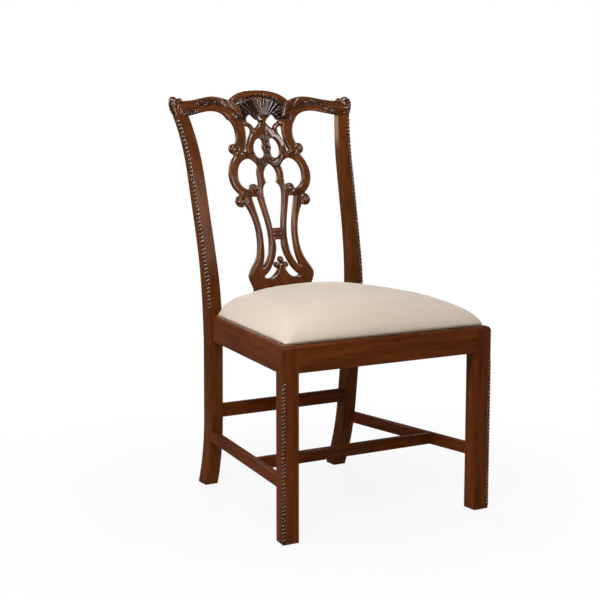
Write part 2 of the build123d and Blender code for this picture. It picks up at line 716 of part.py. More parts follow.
def crest_points(points):
    """Places drawn crest points: the middle follows the splat, and the wings reach out to the posts."""
    middle = CREST_MIDDLE * SPLAT_SPREAD
    reach = (POST_TOP_X - middle) / (251 - CREST_MIDDLE)
    rise = CREST_HEIGHT / 63.5
    drop = CREST_DROP / 12
    placed = []
    for x, h in points:
        across = x * SPLAT_SPREAD if x < CREST_MIDDLE else middle + (x - CREST_MIDDLE) * reach
        placed.append((across, POST_TOP + h * (rise if h > 0 else drop)))
    return placed


def crest_plan(height):
    """Bowed plan of the crest rail at a height; it leans back and thins towards its top edge."""
    span = FRONT_WIDTH / 2
    radius = (POST_TOP_MIDDLE**2 + CREST_BOW**2) / (2 * CREST_BOW)
    end_bow = CREST_BOW - radius + math.sqrt(radius**2 - span**2)
    above = height - POST_TOP
    thick = CREST_THICK + (CREST_EDGE_THICK - CREST_THICK) * above / CREST_HEIGHT
    face = behind(SEAT_DEPTH + TOP_SETBACK + CREST_SLOPE * above)
    with BuildSketch(Plane.XY.offset(height)) as plan:
        with BuildLine():
            for y in (face, face + thick):
                ThreePointArc((-span, y + end_bow), (0, y + CREST_BOW), (span, y + end_bow))
            for x in (-span, span):
                Line((x, face + end_bow), (x, face + thick + end_bow))
        make_face()
    return plan.sketch


with BuildPart() as crest_rail:
    loft([crest_plan(CREST_LOW - CUT), crest_plan(CREST_TOP + CUT)], ruled=True)
    with BuildSketch(Plane.XZ):
        with BuildLine():
            dome = (0, 63.5), (40, 60.5), (64, 53), (86, 37)
            wing = dome[-1], (105, 44.5), (130, 48), (165, 44), (197, 38.5), (237, 38.5)
            ear = wing[-1], (243, 45), (250, 47.5), (258, 44.5), (262.5, 35), (260.5, 18), (251, 0)
            foot = (217, 0)
            arch = foot, (190, 4.5), (147, 11), (113, 4.5), (CREST_MIDDLE, -12)
            notch = (47, -12), (43, -5), (33, 2), (20, -5), (12.5, -12)
            for run in (dome, wing, ear, arch, notch):
                Spline(*crest_points(run))
            Line(*crest_points([ear[-1], foot]))
            Line(*crest_points([arch[-1], notch[0]]))
            Polyline(*crest_points([notch[-1], (0, -12), dome[0]]))
        make_face()
        mirror(about=Plane.YZ)
    extrude(amount=OVERALL_DEPTH, both=True, mode=Mode.INTERSECT)
    splat_tenons(FIT_GAP, Mode.SUBTRACT)
    for side in SIDES.values():
        post_tenon(side, FIT_GAP, Mode.SUBTRACT)
write(crest_rail.part, "crest_rail")

# Corner blocks, notched round the front legs, and their screws
block_top = LEDGE - BLOCK_DROP
for name, side in SIDES.items():
    with BuildPart() as front_corner_block:
        reach = LEG_SIZE + BLOCK_REACH
        front_plan = [
            (LEG_INNER, RAIL_THICK),
            (LEG_INNER - BLOCK_REACH, RAIL_THICK),
            (rail_x(reach, RAIL_THICK), reach),
            (rail_x(LEG_SIZE, RAIL_THICK), LEG_SIZE),
            (LEG_INNER, LEG_SIZE),
        ]
        slab(front_plan, block_top - BLOCK_HEIGHT, block_top, side)
        drill(counterbore=True)
    write(front_corner_block.part, f"{name}_front_corner_block")
    with BuildPart() as rear_corner_block:
        inner = rail_x(SEAT_DEPTH, RAIL_THICK)
        reach = SEAT_DEPTH - BLOCK_REACH
        rear_plan = [
            (inner, SEAT_DEPTH),
            (inner - BLOCK_REACH, SEAT_DEPTH),
            (rail_x(reach, RAIL_THICK), reach),
        ]
        slab(rear_plan, block_top - BLOCK_HEIGHT, block_top, side)
        drill(counterbore=True)
    write(rear_corner_block.part, f"{name}_rear_corner_block")

with BuildPart() as corner_block_screws:
    for start, way in screw_places():
        with BuildSketch(Plane(origin=start, z_dir=way)):
            Circle(SCREW_SHANK / 2)
        extrude(amount=SCREW_GRIP + SCREW_BITE)
        with BuildSketch(Plane(origin=start, z_dir=way)):
            Circle(SCREW_HEAD / 2)
        extrude(amount=-SCREW_HEAD_HEIGHT)
write(corner_block_screws.part, "corner_block_screws")

# Drop-in seat
SEAT_EDGE = LIP + SEAT_GAP  # outer face of the cover, inside the rails' outer faces
SEAT_FAR = SEAT_DEPTH - SEAT_GAP


def seat_outline(inset):
    """Half plan of the covered seat, or of a line inset from it."""
    near, far = SEAT_EDGE + inset, SEAT_FAR - inset
    edge = SEAT_EDGE + inset
    return [(0, near), (rail_x(near, edge), near), (rail_x(far, edge), far), (0, far)]


def seat_sheet(inset, low, high, mode=Mode.ADD):
    """Adds or cuts a flat sheet with the seat's outline."""
    for side in SIDES.values():
        slab(seat_outline(inset), low, high, side, mode)


def frame_end(near, far):
    """Half plan of the front or rear member of the seat frame."""
    edge = SEAT_EDGE + COVER_THICK
    return [(0, near), (rail_x(near, edge), near), (rail_x(far, edge), far), (0, far)]


FRAME_NEAR = SEAT_EDGE + COVER_THICK
FRAME_FAR = SEAT_FAR - COVER_THICK
FRAME_MIDDLE = (SEAT_FRAME_LOW + SEAT_FRAME_TOP) / 2
FRAME_ENDS = {
    "front": (FRAME_NEAR, FRAME_NEAR + SEAT_FRAME_WIDTH),
    "rear": (FRAME_FAR - SEAT_FRAME_WIDTH, FRAME_FAR),
}
FRAME_SIDE = rail_strip(FRAME_NEAR, FRAME_FAR, FRAME_NEAR, FRAME_NEAR + SEAT_FRAME_WIDTH)

# The end members keep the lower half of each corner lap, and the side members the upper half
for name, ends in FRAME_ENDS.items():
    with BuildPart() as frame_end_member:
        for side in SIDES.values():
            slab(frame_end(*ends), SEAT_FRAME_LOW, SEAT_FRAME_TOP, side)
        for side in SIDES.values():
            slab(FRAME_SIDE, FRAME_MIDDLE, SEAT_FRAME_TOP + CUT, side, Mode.SUBTRACT)
    write(frame_end_member.part, f"seat_frame_{name}")

for name, side in SIDES.items():
    with BuildPart() as frame_side_member:
        slab(FRAME_SIDE, SEAT_FRAME_LOW, SEAT_FRAME_TOP, side)
        for ends in FRAME_ENDS.values():
            slab(frame_end(*ends), SEAT_FRAME_LOW - CUT, FRAME_MIDDLE, side, Mode.SUBTRACT)
    write(frame_side_member.part, f"seat_frame_{name}")

# Webbing, tacked to the top of the seat frame in two layers
web_step = (FRAME_FAR - FRAME_NEAR) / (WEBBING_COUNT + 1)
with BuildPart() as lengthwise_webbing:
    for i in range(WEBBING_COUNT):
        middle = (i - (WEBBING_COUNT - 1) / 2) * web_step
        across = (middle - WEBBING_WIDTH / 2, middle + WEBBING_WIDTH / 2)
        block(across, (FRAME_NEAR, FRAME_FAR), (SEAT_FRAME_TOP, CROSS_WEBBING))
write(lengthwise_webbing.part, "lengthwise_webbing")

with BuildPart() as crosswise_webbing:
    for i in range(WEBBING_COUNT):
        near = FRAME_NEAR + (i + 1) * web_step - WEBBING_WIDTH / 2
        for side in SIDES.values():
            slab(frame_end(near, near + WEBBING_WIDTH), CROSS_WEBBING, HESSIAN_LOW, side)
write(crosswise_webbing.part, "crosswise_webbing")

with BuildPart() as seat_hessian:
    seat_sheet(COVER_THICK, HESSIAN_LOW, PAD_LOW)
write(seat_hessian.part, "seat_hessian")


def cushion_section(place, share, inset):
    """One upright section of the cushion: flat base, short walls, rounded shoulders and a crown."""
    distance = SEAT_EDGE + inset + place * (SEAT_FAR - SEAT_EDGE - 2 * inset)
    base = rail_x(distance, SEAT_EDGE + inset)
    half = base - DRAW_IN * 4 * place * (1 - place)
    wall = PAD_LOW + WALL
    rise = (RAIL_TOP + CROWN - inset - wall) * share
    inner = half - SHOULDER * (0.35 + 0.65 * share)
    knee = wall + rise * SHOULDER_SHARE
    bulge = (half - (half - inner) * 0.22, wall + rise * 0.5)
    with BuildSketch(Plane.XZ.offset(-behind(distance))) as section:
        with BuildLine():
            Polyline((half, wall), (base, PAD_LOW), (-base, PAD_LOW), (-half, wall))
            ThreePointArc((half, wall), bulge, (inner, knee))
            ThreePointArc((inner, knee), (0, wall + rise), (-inner, knee))
            ThreePointArc((-inner, knee), (-bulge[0], bulge[1]), (-half, wall))
        make_face()
    return section.sketch


def cushion(inset, mode=Mode.ADD):
    """Adds or cuts the crowned cushion, inset from the cover's outer face."""
    loft([cushion_section(place, share, inset) for place, share in CUSHION_SECTIONS], ruled=True, mode=mode)


with BuildPart() as seat_pad:
    cushion(COVER_THICK)
write(seat_pad.part, "seat_pad")

# The cover wraps the pad and the frame, and is turned under the frame's edges
with BuildPart() as cover_crown:
    cushion(0)
    add(seat_pad.part, mode=Mode.SUBTRACT)
with BuildPart() as seat_cover:
    seat_sheet(0, SEAT_LOW, PAD_LOW)
    seat_sheet(COVER_THICK, SEAT_FRAME_LOW, PAD_LOW, Mode.SUBTRACT)
    seat_sheet(COVER_RETURN, SEAT_LOW - CUT, SEAT_FRAME_LOW, Mode.SUBTRACT)
    add(cover_crown.part)
write(seat_cover.part, "seat_cover")

with BuildPart() as dust_cover:
    seat_sheet(COVER_RETURN + SEAT_GAP, SEAT_FRAME_LOW - DUST_COVER_THICK, SEAT_FRAME_LOW)
write(dust_cover.part, "dust_cover")

print("overall depth", round(OVERALL_DEPTH, 2), "height", CREST_TOP)
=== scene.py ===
import math
from contextlib import contextmanager

import bpy
import numpy as np
from bpy.props import FloatProperty, FloatVectorProperty, IntProperty, PointerProperty
from bpy.types import Operator, Panel, PropertyGroup
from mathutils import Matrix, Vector
from mathutils.kdtree import KDTree


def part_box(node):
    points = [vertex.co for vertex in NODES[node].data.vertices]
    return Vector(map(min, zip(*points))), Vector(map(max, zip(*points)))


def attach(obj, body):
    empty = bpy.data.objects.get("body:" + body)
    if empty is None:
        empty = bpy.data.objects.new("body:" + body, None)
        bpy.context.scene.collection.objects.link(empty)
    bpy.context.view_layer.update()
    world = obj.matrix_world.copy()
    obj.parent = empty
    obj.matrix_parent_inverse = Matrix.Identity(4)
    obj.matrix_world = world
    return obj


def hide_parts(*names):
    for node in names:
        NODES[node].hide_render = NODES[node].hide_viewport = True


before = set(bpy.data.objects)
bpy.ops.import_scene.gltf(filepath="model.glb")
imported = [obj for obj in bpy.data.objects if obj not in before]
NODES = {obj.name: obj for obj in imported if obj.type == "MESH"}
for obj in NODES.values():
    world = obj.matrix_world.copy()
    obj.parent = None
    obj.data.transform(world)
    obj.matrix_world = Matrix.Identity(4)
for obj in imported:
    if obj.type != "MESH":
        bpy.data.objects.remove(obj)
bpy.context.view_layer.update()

bl_info = {
    "name": "Carved Side Chair",
    "version": (1, 0, 0),
    "blender": (4, 5, 0),
    "location": "View3D > Sidebar > Chair",
    "description": "Dresses the chair's joined frame with polish, carving, rope beads and a padded seat",
    "category": "Object",
}

MM = 0.001

# Main lines of the frame, in millimetres.
LEG_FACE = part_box("left_front_leg")[0].y / MM
LEG_EDGE = 281
RAIL_TOP = 440.0
SHOE_TOP = 486.0
POST_TOP = 924.0
POST_HALF, POST_SPLAY = 208, 0.0325
FLARE_FOOT, FLARE = 790, 13
BACK_FACE = LEG_FACE + 462
LOW_BEND_TOP, LOW_SETBACK = 575, 16.3
HIGH_BEND_FOOT, HIGH_SETBACK = 740, 56.1
TOP_SETBACK = 113.4
SPLAT_FACE = BACK_FACE + 20
SPLAT_THICK, SPLAT_BACK_ROUND = 12.0, 1.6
JOINT_HEIGHT = 912.0
CREST_SLOPE = 0.387
CREST_HALF, CREST_BOW = 234.03, 20.0
CREST_RADIUS = (CREST_HALF**2 + CREST_BOW**2) / (2 * CREST_BOW)
CREST_THICK, CREST_TAPER, CREST_RISE = 19, 8, 63.5
EDGE_EASE, STRETCHER_EASE = 0.5, 1.2

# Joints of the back, in millimetres: inner side, outer side and top of each mortise in the crest rail,
# and the heights and places across between which a face or an edge blends into its neighbour.
JOINT_MARGIN = 2
POST_SHOULDER = 215
CREST_MORTISES = ((217.5, 250.5, 942), (-1, 11.5, 930), (48.5, 94, 930))
POST_FLUSH = ((966, 926), (182, 218))
POST_BLEND = ((950, 927), (204, 214))
SPLAT_BLEND = ((934, 916), (114, 102))
SWEEP_FOOT = 835

# Polish, grain axis, turn of the grain and tint, for each group of show wood.
SIDE_SPLAY = math.radians(8)
FULL, RED = (1.0, 1.0, 1.0), (1.0, 0.86, 0.80)
CROSSWISE = ("front_seat_rail", "rear_seat_rail", "splat_shoe", "middle_stretcher", "rear_stretcher")
SHOW_WOOD = (
    ("mahogany_along_z", "Z", 0, RED, ("left_front_leg", "right_front_leg")),
    ("mahogany_along_z_post", "Z", 0, FULL, ("left_back_post", "right_back_post")),
    ("mahogany_along_x", "X", 0, RED, CROSSWISE),
    ("mahogany_along_y_left", "Y", SIDE_SPLAY, RED, ("left_seat_rail", "left_stretcher")),
    ("mahogany_along_y_right", "Y", -SIDE_SPLAY, RED, ("right_seat_rail", "right_stretcher")),
)
BLOCKS = [f"{side}_{end}_corner_block" for end in ("front", "rear") for side in ("left", "right")]
SEAT_FRAME = ["seat_frame_front", "seat_frame_rear", "seat_frame_left", "seat_frame_right"]
PLAIN_WOOD = {"X": ["rear_seat_bearer", *BLOCKS, *SEAT_FRAME[:2]], "Y": SEAT_FRAME[2:]}

# Carving, as places across and up in millimetres; the left half mirrors what is given for the right half.
# A scroll has a radius and a hand, a button a radius; a leaf has a width, a rise and a number of lobes.
SPLAT_SCROLLS = (((92.5, 711), 15, 1), ((94, 840), 13.5, 1), ((52.5, 741), 12.5, -1))
SPLAT_BUTTONS = (((0, 563.5), 7.4), ((12.5, 550.5), 7.0), ((54, 903.5), 5.6), ((34, 884), 5.6))
HUSK_FEET = (876, 861, 846, 831)
SPLAT_LEAVES = (
    *(([(0.5, foot - 16), (3, foot - 9), (9.5, foot - 2)], 4.6, 4.4, 2.5) for foot in HUSK_FEET),
    ([(3, 861), (9, 868), (21, 866)], 4.5, 3.2, 3.0),
    ([(8, 800), (22, 800), (42, 826)], 8.0, 4.4, 4.0),
    ([(6, 812), (16, 820), (34, 816)], 5.0, 3.4, 3.0),
    ([(58, 731), (70, 727), (86, 734)], 5.5, 2.6, 4.0),
    ([(78, 826), (66, 828), (48, 830)], 5.0, 1.8, 3.0),
)
# Where one strap dips under another: the line between them, the drop and how far it reaches.
# The middle crossings and the twisted ribbon are not mirrored.
MIDDLE_CROSSINGS = (((5, 880), (0, 911), 2.4, 16), ((8, 797), (-4, 812), 1.8, 10))
PAIRED_CROSSINGS = (((60, 834), (38, 829), 1.6, 9), ((46, 727), (40, 757), 1.8, 9))
RIBBON = [(3, 906), (26, 880), (50, 836)]
SHELL_FOOT = 905
RIB_TURN = math.radians(9.5)
CREST_LEAVES = (
    ([(184, 951), (166, 961), (150, 961)], 5.4, 3.8, 3.0),
    ([(164, 950), (148, 959), (130, 958)], 5.4, 3.8, 3.0),
    ([(236, 930), (212, 931), (182, 941)], 6.4, 4.2, 5.0),
    ([(253, 922), (267, 946), (248, 969)], 7.4, 4.0, 5.0),
    ([(72, 948), (60, 952), (52, 966)], 5.5, 3.6, 3.0),
    ([(50, 938), (64, 938), (78, 950)], 5.0, 3.2, 3.0),
)
CREST_PETALS = (
    ([(136, 966), (116, 968), (96, 944)], 6.8, 4.6),
    ([(116, 967), (80, 961), (61, 921)], 8.8, 5.9),
)
EAR_LOBE = (231.5, 961)
CREST_BUTTONS = (((77, 921), 4.4), ((241, 943), 4.6), (EAR_LOBE, 4.6))

# Rope beads: lowest and highest point, and depth of the rope's middle inside the edge, in millimetres.
ROPES = (("leg", 8, 359), ("post", 458, 916))
ROPE_INSET, STRAND_SLANT = 2.0, 0.6
# How dark the rope's core and the gaps between its strands are: glaze and painted shade.
DEEP_WAX_AND_SHADE = 0.97

# Stage, in metres: a lamp's place, target and width; a gloss card's place, width, strength and colour.
MIDDLE = (0, -0.05, 0.5)
CAMERA_TARGET = (-0.12037, LEG_FACE * MM + 0.200, 0.5056)
LAMPS = (
    ("key", (-1.15, -1.05, 1.75), (-0.05, 0.1, 0.6), 0.7),
    ("side", (-2.2, -0.4, 0.7), MIDDLE, 0.7),
    ("fill", (2.4, -0.5, 1.6), MIDDLE, 0.6),
    ("rear", (0.9, 2.5, 1.7), MIDDLE, 0.8),
    ("top", (-0.3, 0.4, 2.7), MIDDLE, 0.8),
)
WHITE, WARM = (1.0, 1.0, 1.0), (1.0, 0.84, 0.62)
GLOSS_CARDS = (
    ("left_gloss", (-3.0, -0.4, 1.8), 1.5, 0.45, WARM),
    ("rear_left_gloss", (-2.2, 3.2, 2.2), 2.0, 0.25, WARM),
    ("top_gloss", (-0.1, -1.0, 3.1), 1.2, 1.0, WHITE),
    ("front_gloss", (0.535, -2.08, 1.575), 0.55, 0.8, WHITE),
    ("right_gloss", (3.0, -0.2, 1.8), 1.2, 0.8, WHITE),
)


def colour_of(name, description, default):
    """A colour that a user may change."""
    return FloatVectorProperty(name=name, description=description, default=default, subtype="COLOR", max=1, min=0)


def length_of(name, description, default, low, high):
    """A length in metres that a user may change."""
    return FloatProperty(name=name, description=description, default=default, min=low, max=high, unit="LENGTH")


def angle_of(name, description, degrees):
    """An angle that a user may change."""
    return FloatProperty(name=name, description=description, default=math.radians(degrees), subtype="ANGLE")


def power_of(name, description, default):
    """A lamp's power that a user may change."""
    return FloatProperty(name=name, description=description, default=default, min=0, unit="POWER")


class ChairFinish(PropertyGroup):
    """Colours of the polish, the glaze with the painted shade it also carries, and the cloths."""

    wood_light: colour_of("Light figure", "Lightest colour of the polished mahogany", (0.176, 0.0505, 0.0092))
    wood_dark: colour_of("Dark figure", "Darkest colour of the polished mahogany", (0.064, 0.0178, 0.0036))
    # Glaze: dark wax in the carving's hollows, and also painted shade there and between the rope's strands.
    glaze_and_shade: colour_of("Glaze", "Dark wax left in the hollows of the carving", (0.010, 0.0045, 0.0022))
    plain_light: colour_of("Plain wood", "Light colour of the unpolished wood", (0.46, 0.29, 0.14))
    plain_dark: colour_of("Plain wood grain", "Grain colour of the unpolished wood", (0.27, 0.15, 0.066))
    fabric: colour_of("Seat fabric", "Ivory of the seat cover", (0.715, 0.606, 0.498))
    fabric_shade: colour_of("Seat fabric shade", "Darker threads of the seat cover", (0.588, 0.480, 0.376))


class ChairCarving(PropertyGroup):
    """Sizes of the carved ornament."""

    strap_rounding: length_of(
        "Strap rounding", "How far the front edges of the splat's straps are rounded", 0.0050, 0.001, 0.0059
    )
    crest_rounding: length_of("Crest rounding", "How far the crest's edges are rounded", 0.0050, 0.001, 0.0055)
    splat_grid: length_of("Splat detail", "Grid size of the carved splat's surface", 0.0010, 0.0008, 0.004)
    crest_grid: length_of("Crest detail", "Grid size of the carved crest rail's surface", 0.0009, 0.0007, 0.004)
    leg_bead_pitch: length_of("Leg bead pitch", "Height of one strand of a leg's rope", 0.0084, 0.004, 0.02)
    post_bead_pitch: length_of("Post bead pitch", "Height of one strand of a post's rope", 0.0094, 0.004, 0.02)
    bead_size: length_of("Bead size", "Thickness of the rope beads", 0.0090, 0.003, 0.01)


class ChairSeat(PropertyGroup):
    """Sizes of the padded seat."""

    grid: length_of("Cloth grid", "Grid size of the cushion while it is inflated", 0.005, 0.004, 0.012)
    pressure: FloatProperty(
        name="Stuffing pressure", description="Pressure that fills the cover", default=4.0, min=0, max=12
    )
    swell: length_of("Largest swell", "Furthest that a point of the cover moves while it fills", 0.004, 0, 0.01)
    frames: IntProperty(
        name="Cloth steps", description="Steps of the cloth simulation", default=20, min=1, max=60
    )


class ChairStage(PropertyGroup):
    """Place of the camera and strength of the lamps."""

    azimuth: angle_of("Azimuth", "Camera angle round the chair from straight in front", -30.55)
    elevation: angle_of("Elevation", "Camera angle above the level", 8.22)
    distance: FloatProperty(
        name="Distance",
        description="Camera distance from the point it looks at",
        default=3.22635,
        min=0.5,
        unit="LENGTH",
    )
    lens: FloatProperty(
        name="Lens", description="Focal length of the camera in millimetres", default=83.75, min=20
    )
    key_power: power_of("Key light", "Power of the large soft lamp at the upper left", 32.0)
    side_power: power_of("Side light", "Power of the soft lamp at the left", 8.0)
    fill_power: power_of("Fill light", "Power of the soft lamp at the right", 12.0)
    rear_power: power_of("Rear light", "Power of the soft lamp behind the chair", 34.0)
    top_power: power_of("Top light", "Power of the soft lamp overhead", 8.0)
    gloss_power: power_of("Gloss cards", "Power per square metre of the cards that only the polish shows", 520.0)


def pick(piece):
    """Makes a piece the only selected object."""
    if bpy.context.object and bpy.context.object.mode != "OBJECT":
        bpy.ops.object.mode_set(mode="OBJECT")
    bpy.ops.object.select_all(action="DESELECT")
    piece.select_set(True)
    bpy.context.view_layer.objects.active = piece


@contextmanager
def editing(piece):
    """Edit mode, with all of a piece selected."""
    pick(piece)
    bpy.ops.object.mode_set(mode="EDIT")
    bpy.ops.mesh.select_all(action="SELECT")
    yield
    bpy.ops.object.mode_set(mode="OBJECT")


def join(pieces):
    """Joins pieces into the first of them."""
    pick(pieces[0])
    for piece in pieces[1:]:
        piece.select_set(True)
    bpy.ops.object.join()
    return pieces[0]


def points_of(piece):
    """A piece's mesh points, in millimetres."""
    found = np.zeros(len(piece.data.vertices) * 3)
    piece.data.vertices.foreach_get("co", found)
    return found.reshape(-1, 3) / MM


def move_points(piece, places):
    """Sets a piece's mesh points, given in millimetres."""
    piece.data.vertices.foreach_set("co", (places * MM).ravel())
    piece.data.update()


def note(piece, name, values, kind="FLOAT", key="value"):
    """Writes values for a piece's points, which its material reads."""
    made = piece.data.attributes.new(name, kind, "POINT")
    made.data.foreach_set(key, np.asarray(values, np.float32).ravel())


def face_outward(piece):
    """Merges loose corners and turns all faces outward."""
    with editing(piece):
        bpy.ops.mesh.remove_doubles(threshold=0.000002)
        bpy.ops.mesh.normals_make_consistent(inside=False)


def copy_of(part, name):
    """A merged copy of a frame part, ready to be reshaped."""
    piece = bpy.data.objects.new(name, NODES[part].data.copy())
    bpy.context.scene.collection.objects.link(piece)
    piece.data.materials.clear()
    face_outward(piece)
    return piece


def finish_modifier(piece, kind, **settings):
    """Adds a modifier with these settings and applies it."""
    pick(piece)
    modifier = piece.modifiers.new(kind.title(), kind)
    for key, value in settings.items():
        setattr(modifier, key, value)
    bpy.ops.object.modifier_apply(modifier=modifier.name)


def smooth_shade(piece, angle=None):
    """Shades a piece smooth, keeping edges sharper than an angle in degrees."""
    pick(piece)
    if angle is None:
        bpy.ops.object.shade_smooth()
    else:
        bpy.ops.object.shade_smooth_by_angle(angle=math.radians(angle))


def plan_of(places):
    """Front and rear edge of a splayed seat part, and its half widths there."""
    front, rear = places[:, 1].min(), places[:, 1].max()
    front_half = places[places[:, 1] < front + 1][:, 0].max()
    rear_half = places[places[:, 1] > rear - 1][:, 0].max()
    return front, rear, front_half, rear_half


def arc(radius, offset):
    """How far a circle stands out from a line through its middle, at an offset along the line."""
    return np.sqrt(np.maximum(radius**2 - offset**2, 0))


def back_setback(height):
    """How far the back's front face stands behind the seat's rear edge: bent, straight, then bent."""
    height = np.asarray(height, float)
    low_radius = (LOW_SETBACK**2 + (LOW_BEND_TOP - RAIL_TOP) ** 2) / (2 * LOW_SETBACK)
    low = low_radius - arc(low_radius, height - RAIL_TOP)
    lean = math.atan((HIGH_SETBACK - LOW_SETBACK) / (HIGH_BEND_FOOT - LOW_BEND_TOP))
    line = LOW_SETBACK + math.tan(lean) * (height - LOW_BEND_TOP)
    rise, run = POST_TOP - HIGH_BEND_FOOT, TOP_SETBACK - HIGH_SETBACK
    radius = (rise**2 + run**2) / (2 * (run * math.cos(lean) - rise * math.sin(lean)))
    middle = HIGH_SETBACK + radius * math.cos(lean), HIGH_BEND_FOOT - radius * math.sin(lean)
    high = middle[0] - arc(radius, height - middle[1])
    return np.where(height < LOW_BEND_TOP, low, np.where(height < HIGH_BEND_FOOT, line, high))


def crest_sweep(across):
    """How far the bowed crest rail comes forward from its middle towards its ends."""
    return CREST_RADIUS - arc(CREST_RADIUS, across)


def crest_front(across, height):
    """Front face of the crest rail, which bows in plan and leans back."""
    lean = CREST_SLOPE * (height - POST_TOP)
    return BACK_FACE + TOP_SETBACK + lean + CREST_BOW - crest_sweep(across)


def post_edge(height):
    """Outer edge of a back post at a height."""
    flare = np.maximum(height - FLARE_FOOT, 0) / (POST_TOP - FLARE_FOOT)
    return POST_HALF + POST_SPLAY * height + FLARE * flare**2


def ease(low, high, value):
    """Smooth step from 0 at low to 1 at high."""
    share = np.clip((value - low) / (high - low), 0, 1)
    return share * share * (3 - 2 * share)


def blend(across, height, heights, sides):
    """Share of a joint's pull, between two heights and two places to either side."""
    return ease(*heights, height) * ease(*sides, np.abs(across))


def nearest(flat, walls):
    """Distance of each flat point from the nearest of the wall points."""
    tree = KDTree(len(walls))
    for index, (across, height) in enumerate(walls):
        tree.insert((across, height, 0), index)
    tree.balance()
    return np.array([tree.find((across, height, 0))[2] for across, height in flat])


def round_edges(places, thick, front_round, back_round, joints):
    """Rounds the edges of a flattened board over; joints says which walls meet a neighbour."""
    front = places[:, 1]
    wall = (front > 0.3 * thick) & (front < 0.7 * thick)
    flat = places[:, [0, 2]]
    inner = nearest(flat, flat[wall & ~joints])
    for rounding, behind in ((front_round, False), (back_round, True)):
        sunk = thick - front if behind else front
        near = np.clip(inner, 0, rounding)
        share = arc(rounding, rounding - near) / rounding
        new = np.where(sunk < rounding, rounding - (rounding - sunk) * share, sunk)
        front = thick - new if behind else new
    return front


def dome(reach):
    """A half-round of height 1 that meets the ground at a reach of 1."""
    return np.sqrt(np.clip(1 - reach**2, 0, 1))


def ridge(offset, width):
    """A soft ridge of height 1 along a line."""
    return np.exp(-((offset / width) ** 2))


def along_line(across, height, start, run):
    """How far each point lies along a line and to its side, and the line's length."""
    long = np.hypot(*run)
    ahead = ((across - start[0]) * run[0] + (height - start[1]) * run[1]) / long
    off = ((across - start[0]) * run[1] - (height - start[1]) * run[0]) / long
    return ahead, off, long


def spine_place(across, height, spine):
    """Share along a curved spine of three points, and signed distance to its side."""
    first, pull, last = np.array(spine, float)
    steps = np.linspace(0, 1, 33)[:, None]
    line = (1 - steps) ** 2 * first + 2 * steps * (1 - steps) * pull + steps**2 * last
    best = np.full(len(across), 1e9)
    share = np.zeros(len(across))
    side = np.zeros(len(across))
    for index in range(len(line) - 1):
        ahead, off, long = along_line(across, height, line[index], line[index + 1] - line[index])
        gap = np.hypot(ahead - np.clip(ahead, 0, long), off)
        closer = gap < best
        best = np.where(closer, gap, best)
        share = np.where(closer, (index + np.clip(ahead / long, 0, 1)) / (len(line) - 1), share)
        side = np.where(closer, np.where(off < 0, -1, 1) * gap, side)
    return share, side


def leaf(across, height, spine, width, rise, lobes):
    """Height of a carved leaf with a sunk vein and slanting lobes along a spine."""
    share, side = spine_place(across, height, spine)
    half = width * (0.14 + 0.86 * np.sin(np.pi * np.clip(share, 0, 1) ** 0.7) ** 0.8)
    reach = np.abs(side) / half
    lobe = np.abs(np.sin(np.pi * lobes * (share - 0.45 * reach)))
    edge = 0.78 + 0.22 * np.sqrt(lobe)
    inside = ease(edge + 0.14, edge - 0.08, reach)
    body = 0.40 + 0.60 * dome(reach)
    cut = 0.42 + 0.58 * np.sqrt(lobe)
    vein = 0.5 * ridge(side, 0.15 * width)
    return rise * inside * (body * cut - vein)


def petal(across, height, spine, width, rise):
    """Height of a curled petal that tilts up to its inner edge, with two fine veins along it."""
    share, side = spine_place(across, height, spine)
    half = width * (0.25 + 0.75 * np.sin(np.pi * np.clip(share, 0, 1) ** 0.8) ** 0.7)
    reach = side / half
    slope = 0.20 + 0.80 * np.clip(0.5 + 0.5 * reach, 0, 1)
    veins = ridge(reach - 0.40, 0.17) + ridge(reach + 0.30, 0.17)
    return rise * ease(1.13, 0.88, np.abs(reach)) * (slope - 0.11 * veins)


def highest(shape, across, height, rows):
    """Height of the tallest of several leaves or petals, and 0 where there are none."""
    return np.maximum.reduce([np.zeros(len(across))] + [shape(across, height, *row) for row in rows])


def volute(across, height, place, radius, hand, rise=2.6):
    """Height of a scroll end with a spiral groove and a round eye."""
    out, up = hand * (across - place[0]), height - place[1]
    reach, turn = np.hypot(out, up) / radius, np.arctan2(up, out)
    inside = ease(1.06, 0.9, reach)
    phase = (1.9 * reach - turn / (2 * np.pi)) % 1
    groove = ridge(phase - 0.5, 0.17) * ease(0.30, 0.46, reach)
    eye = dome(reach / 0.40)
    return inside * rise * (0.35 * dome(reach) - groove + 0.9 * eye)


def button(across, height, place, radius, rise):
    """Height of a small round boss with a fine sunk line round it."""
    reach = np.hypot(across - place[0], height - place[1])
    return rise * dome(reach / radius) - 0.9 * ridge(reach - radius - 0.4, 0.9)


def crossing(across, height, start, end, drop, reach):
    """A strap that dips under its neighbour on the left of the line from start to end."""
    ahead, off, long = along_line(across, height, start, np.array(end, float) - start)
    within = ease(-3, 2, ahead) * ease(long + 3, long - 2, ahead)
    return -drop * within * ease(1.2, -1.2, off) * ease(-reach, 0, off)


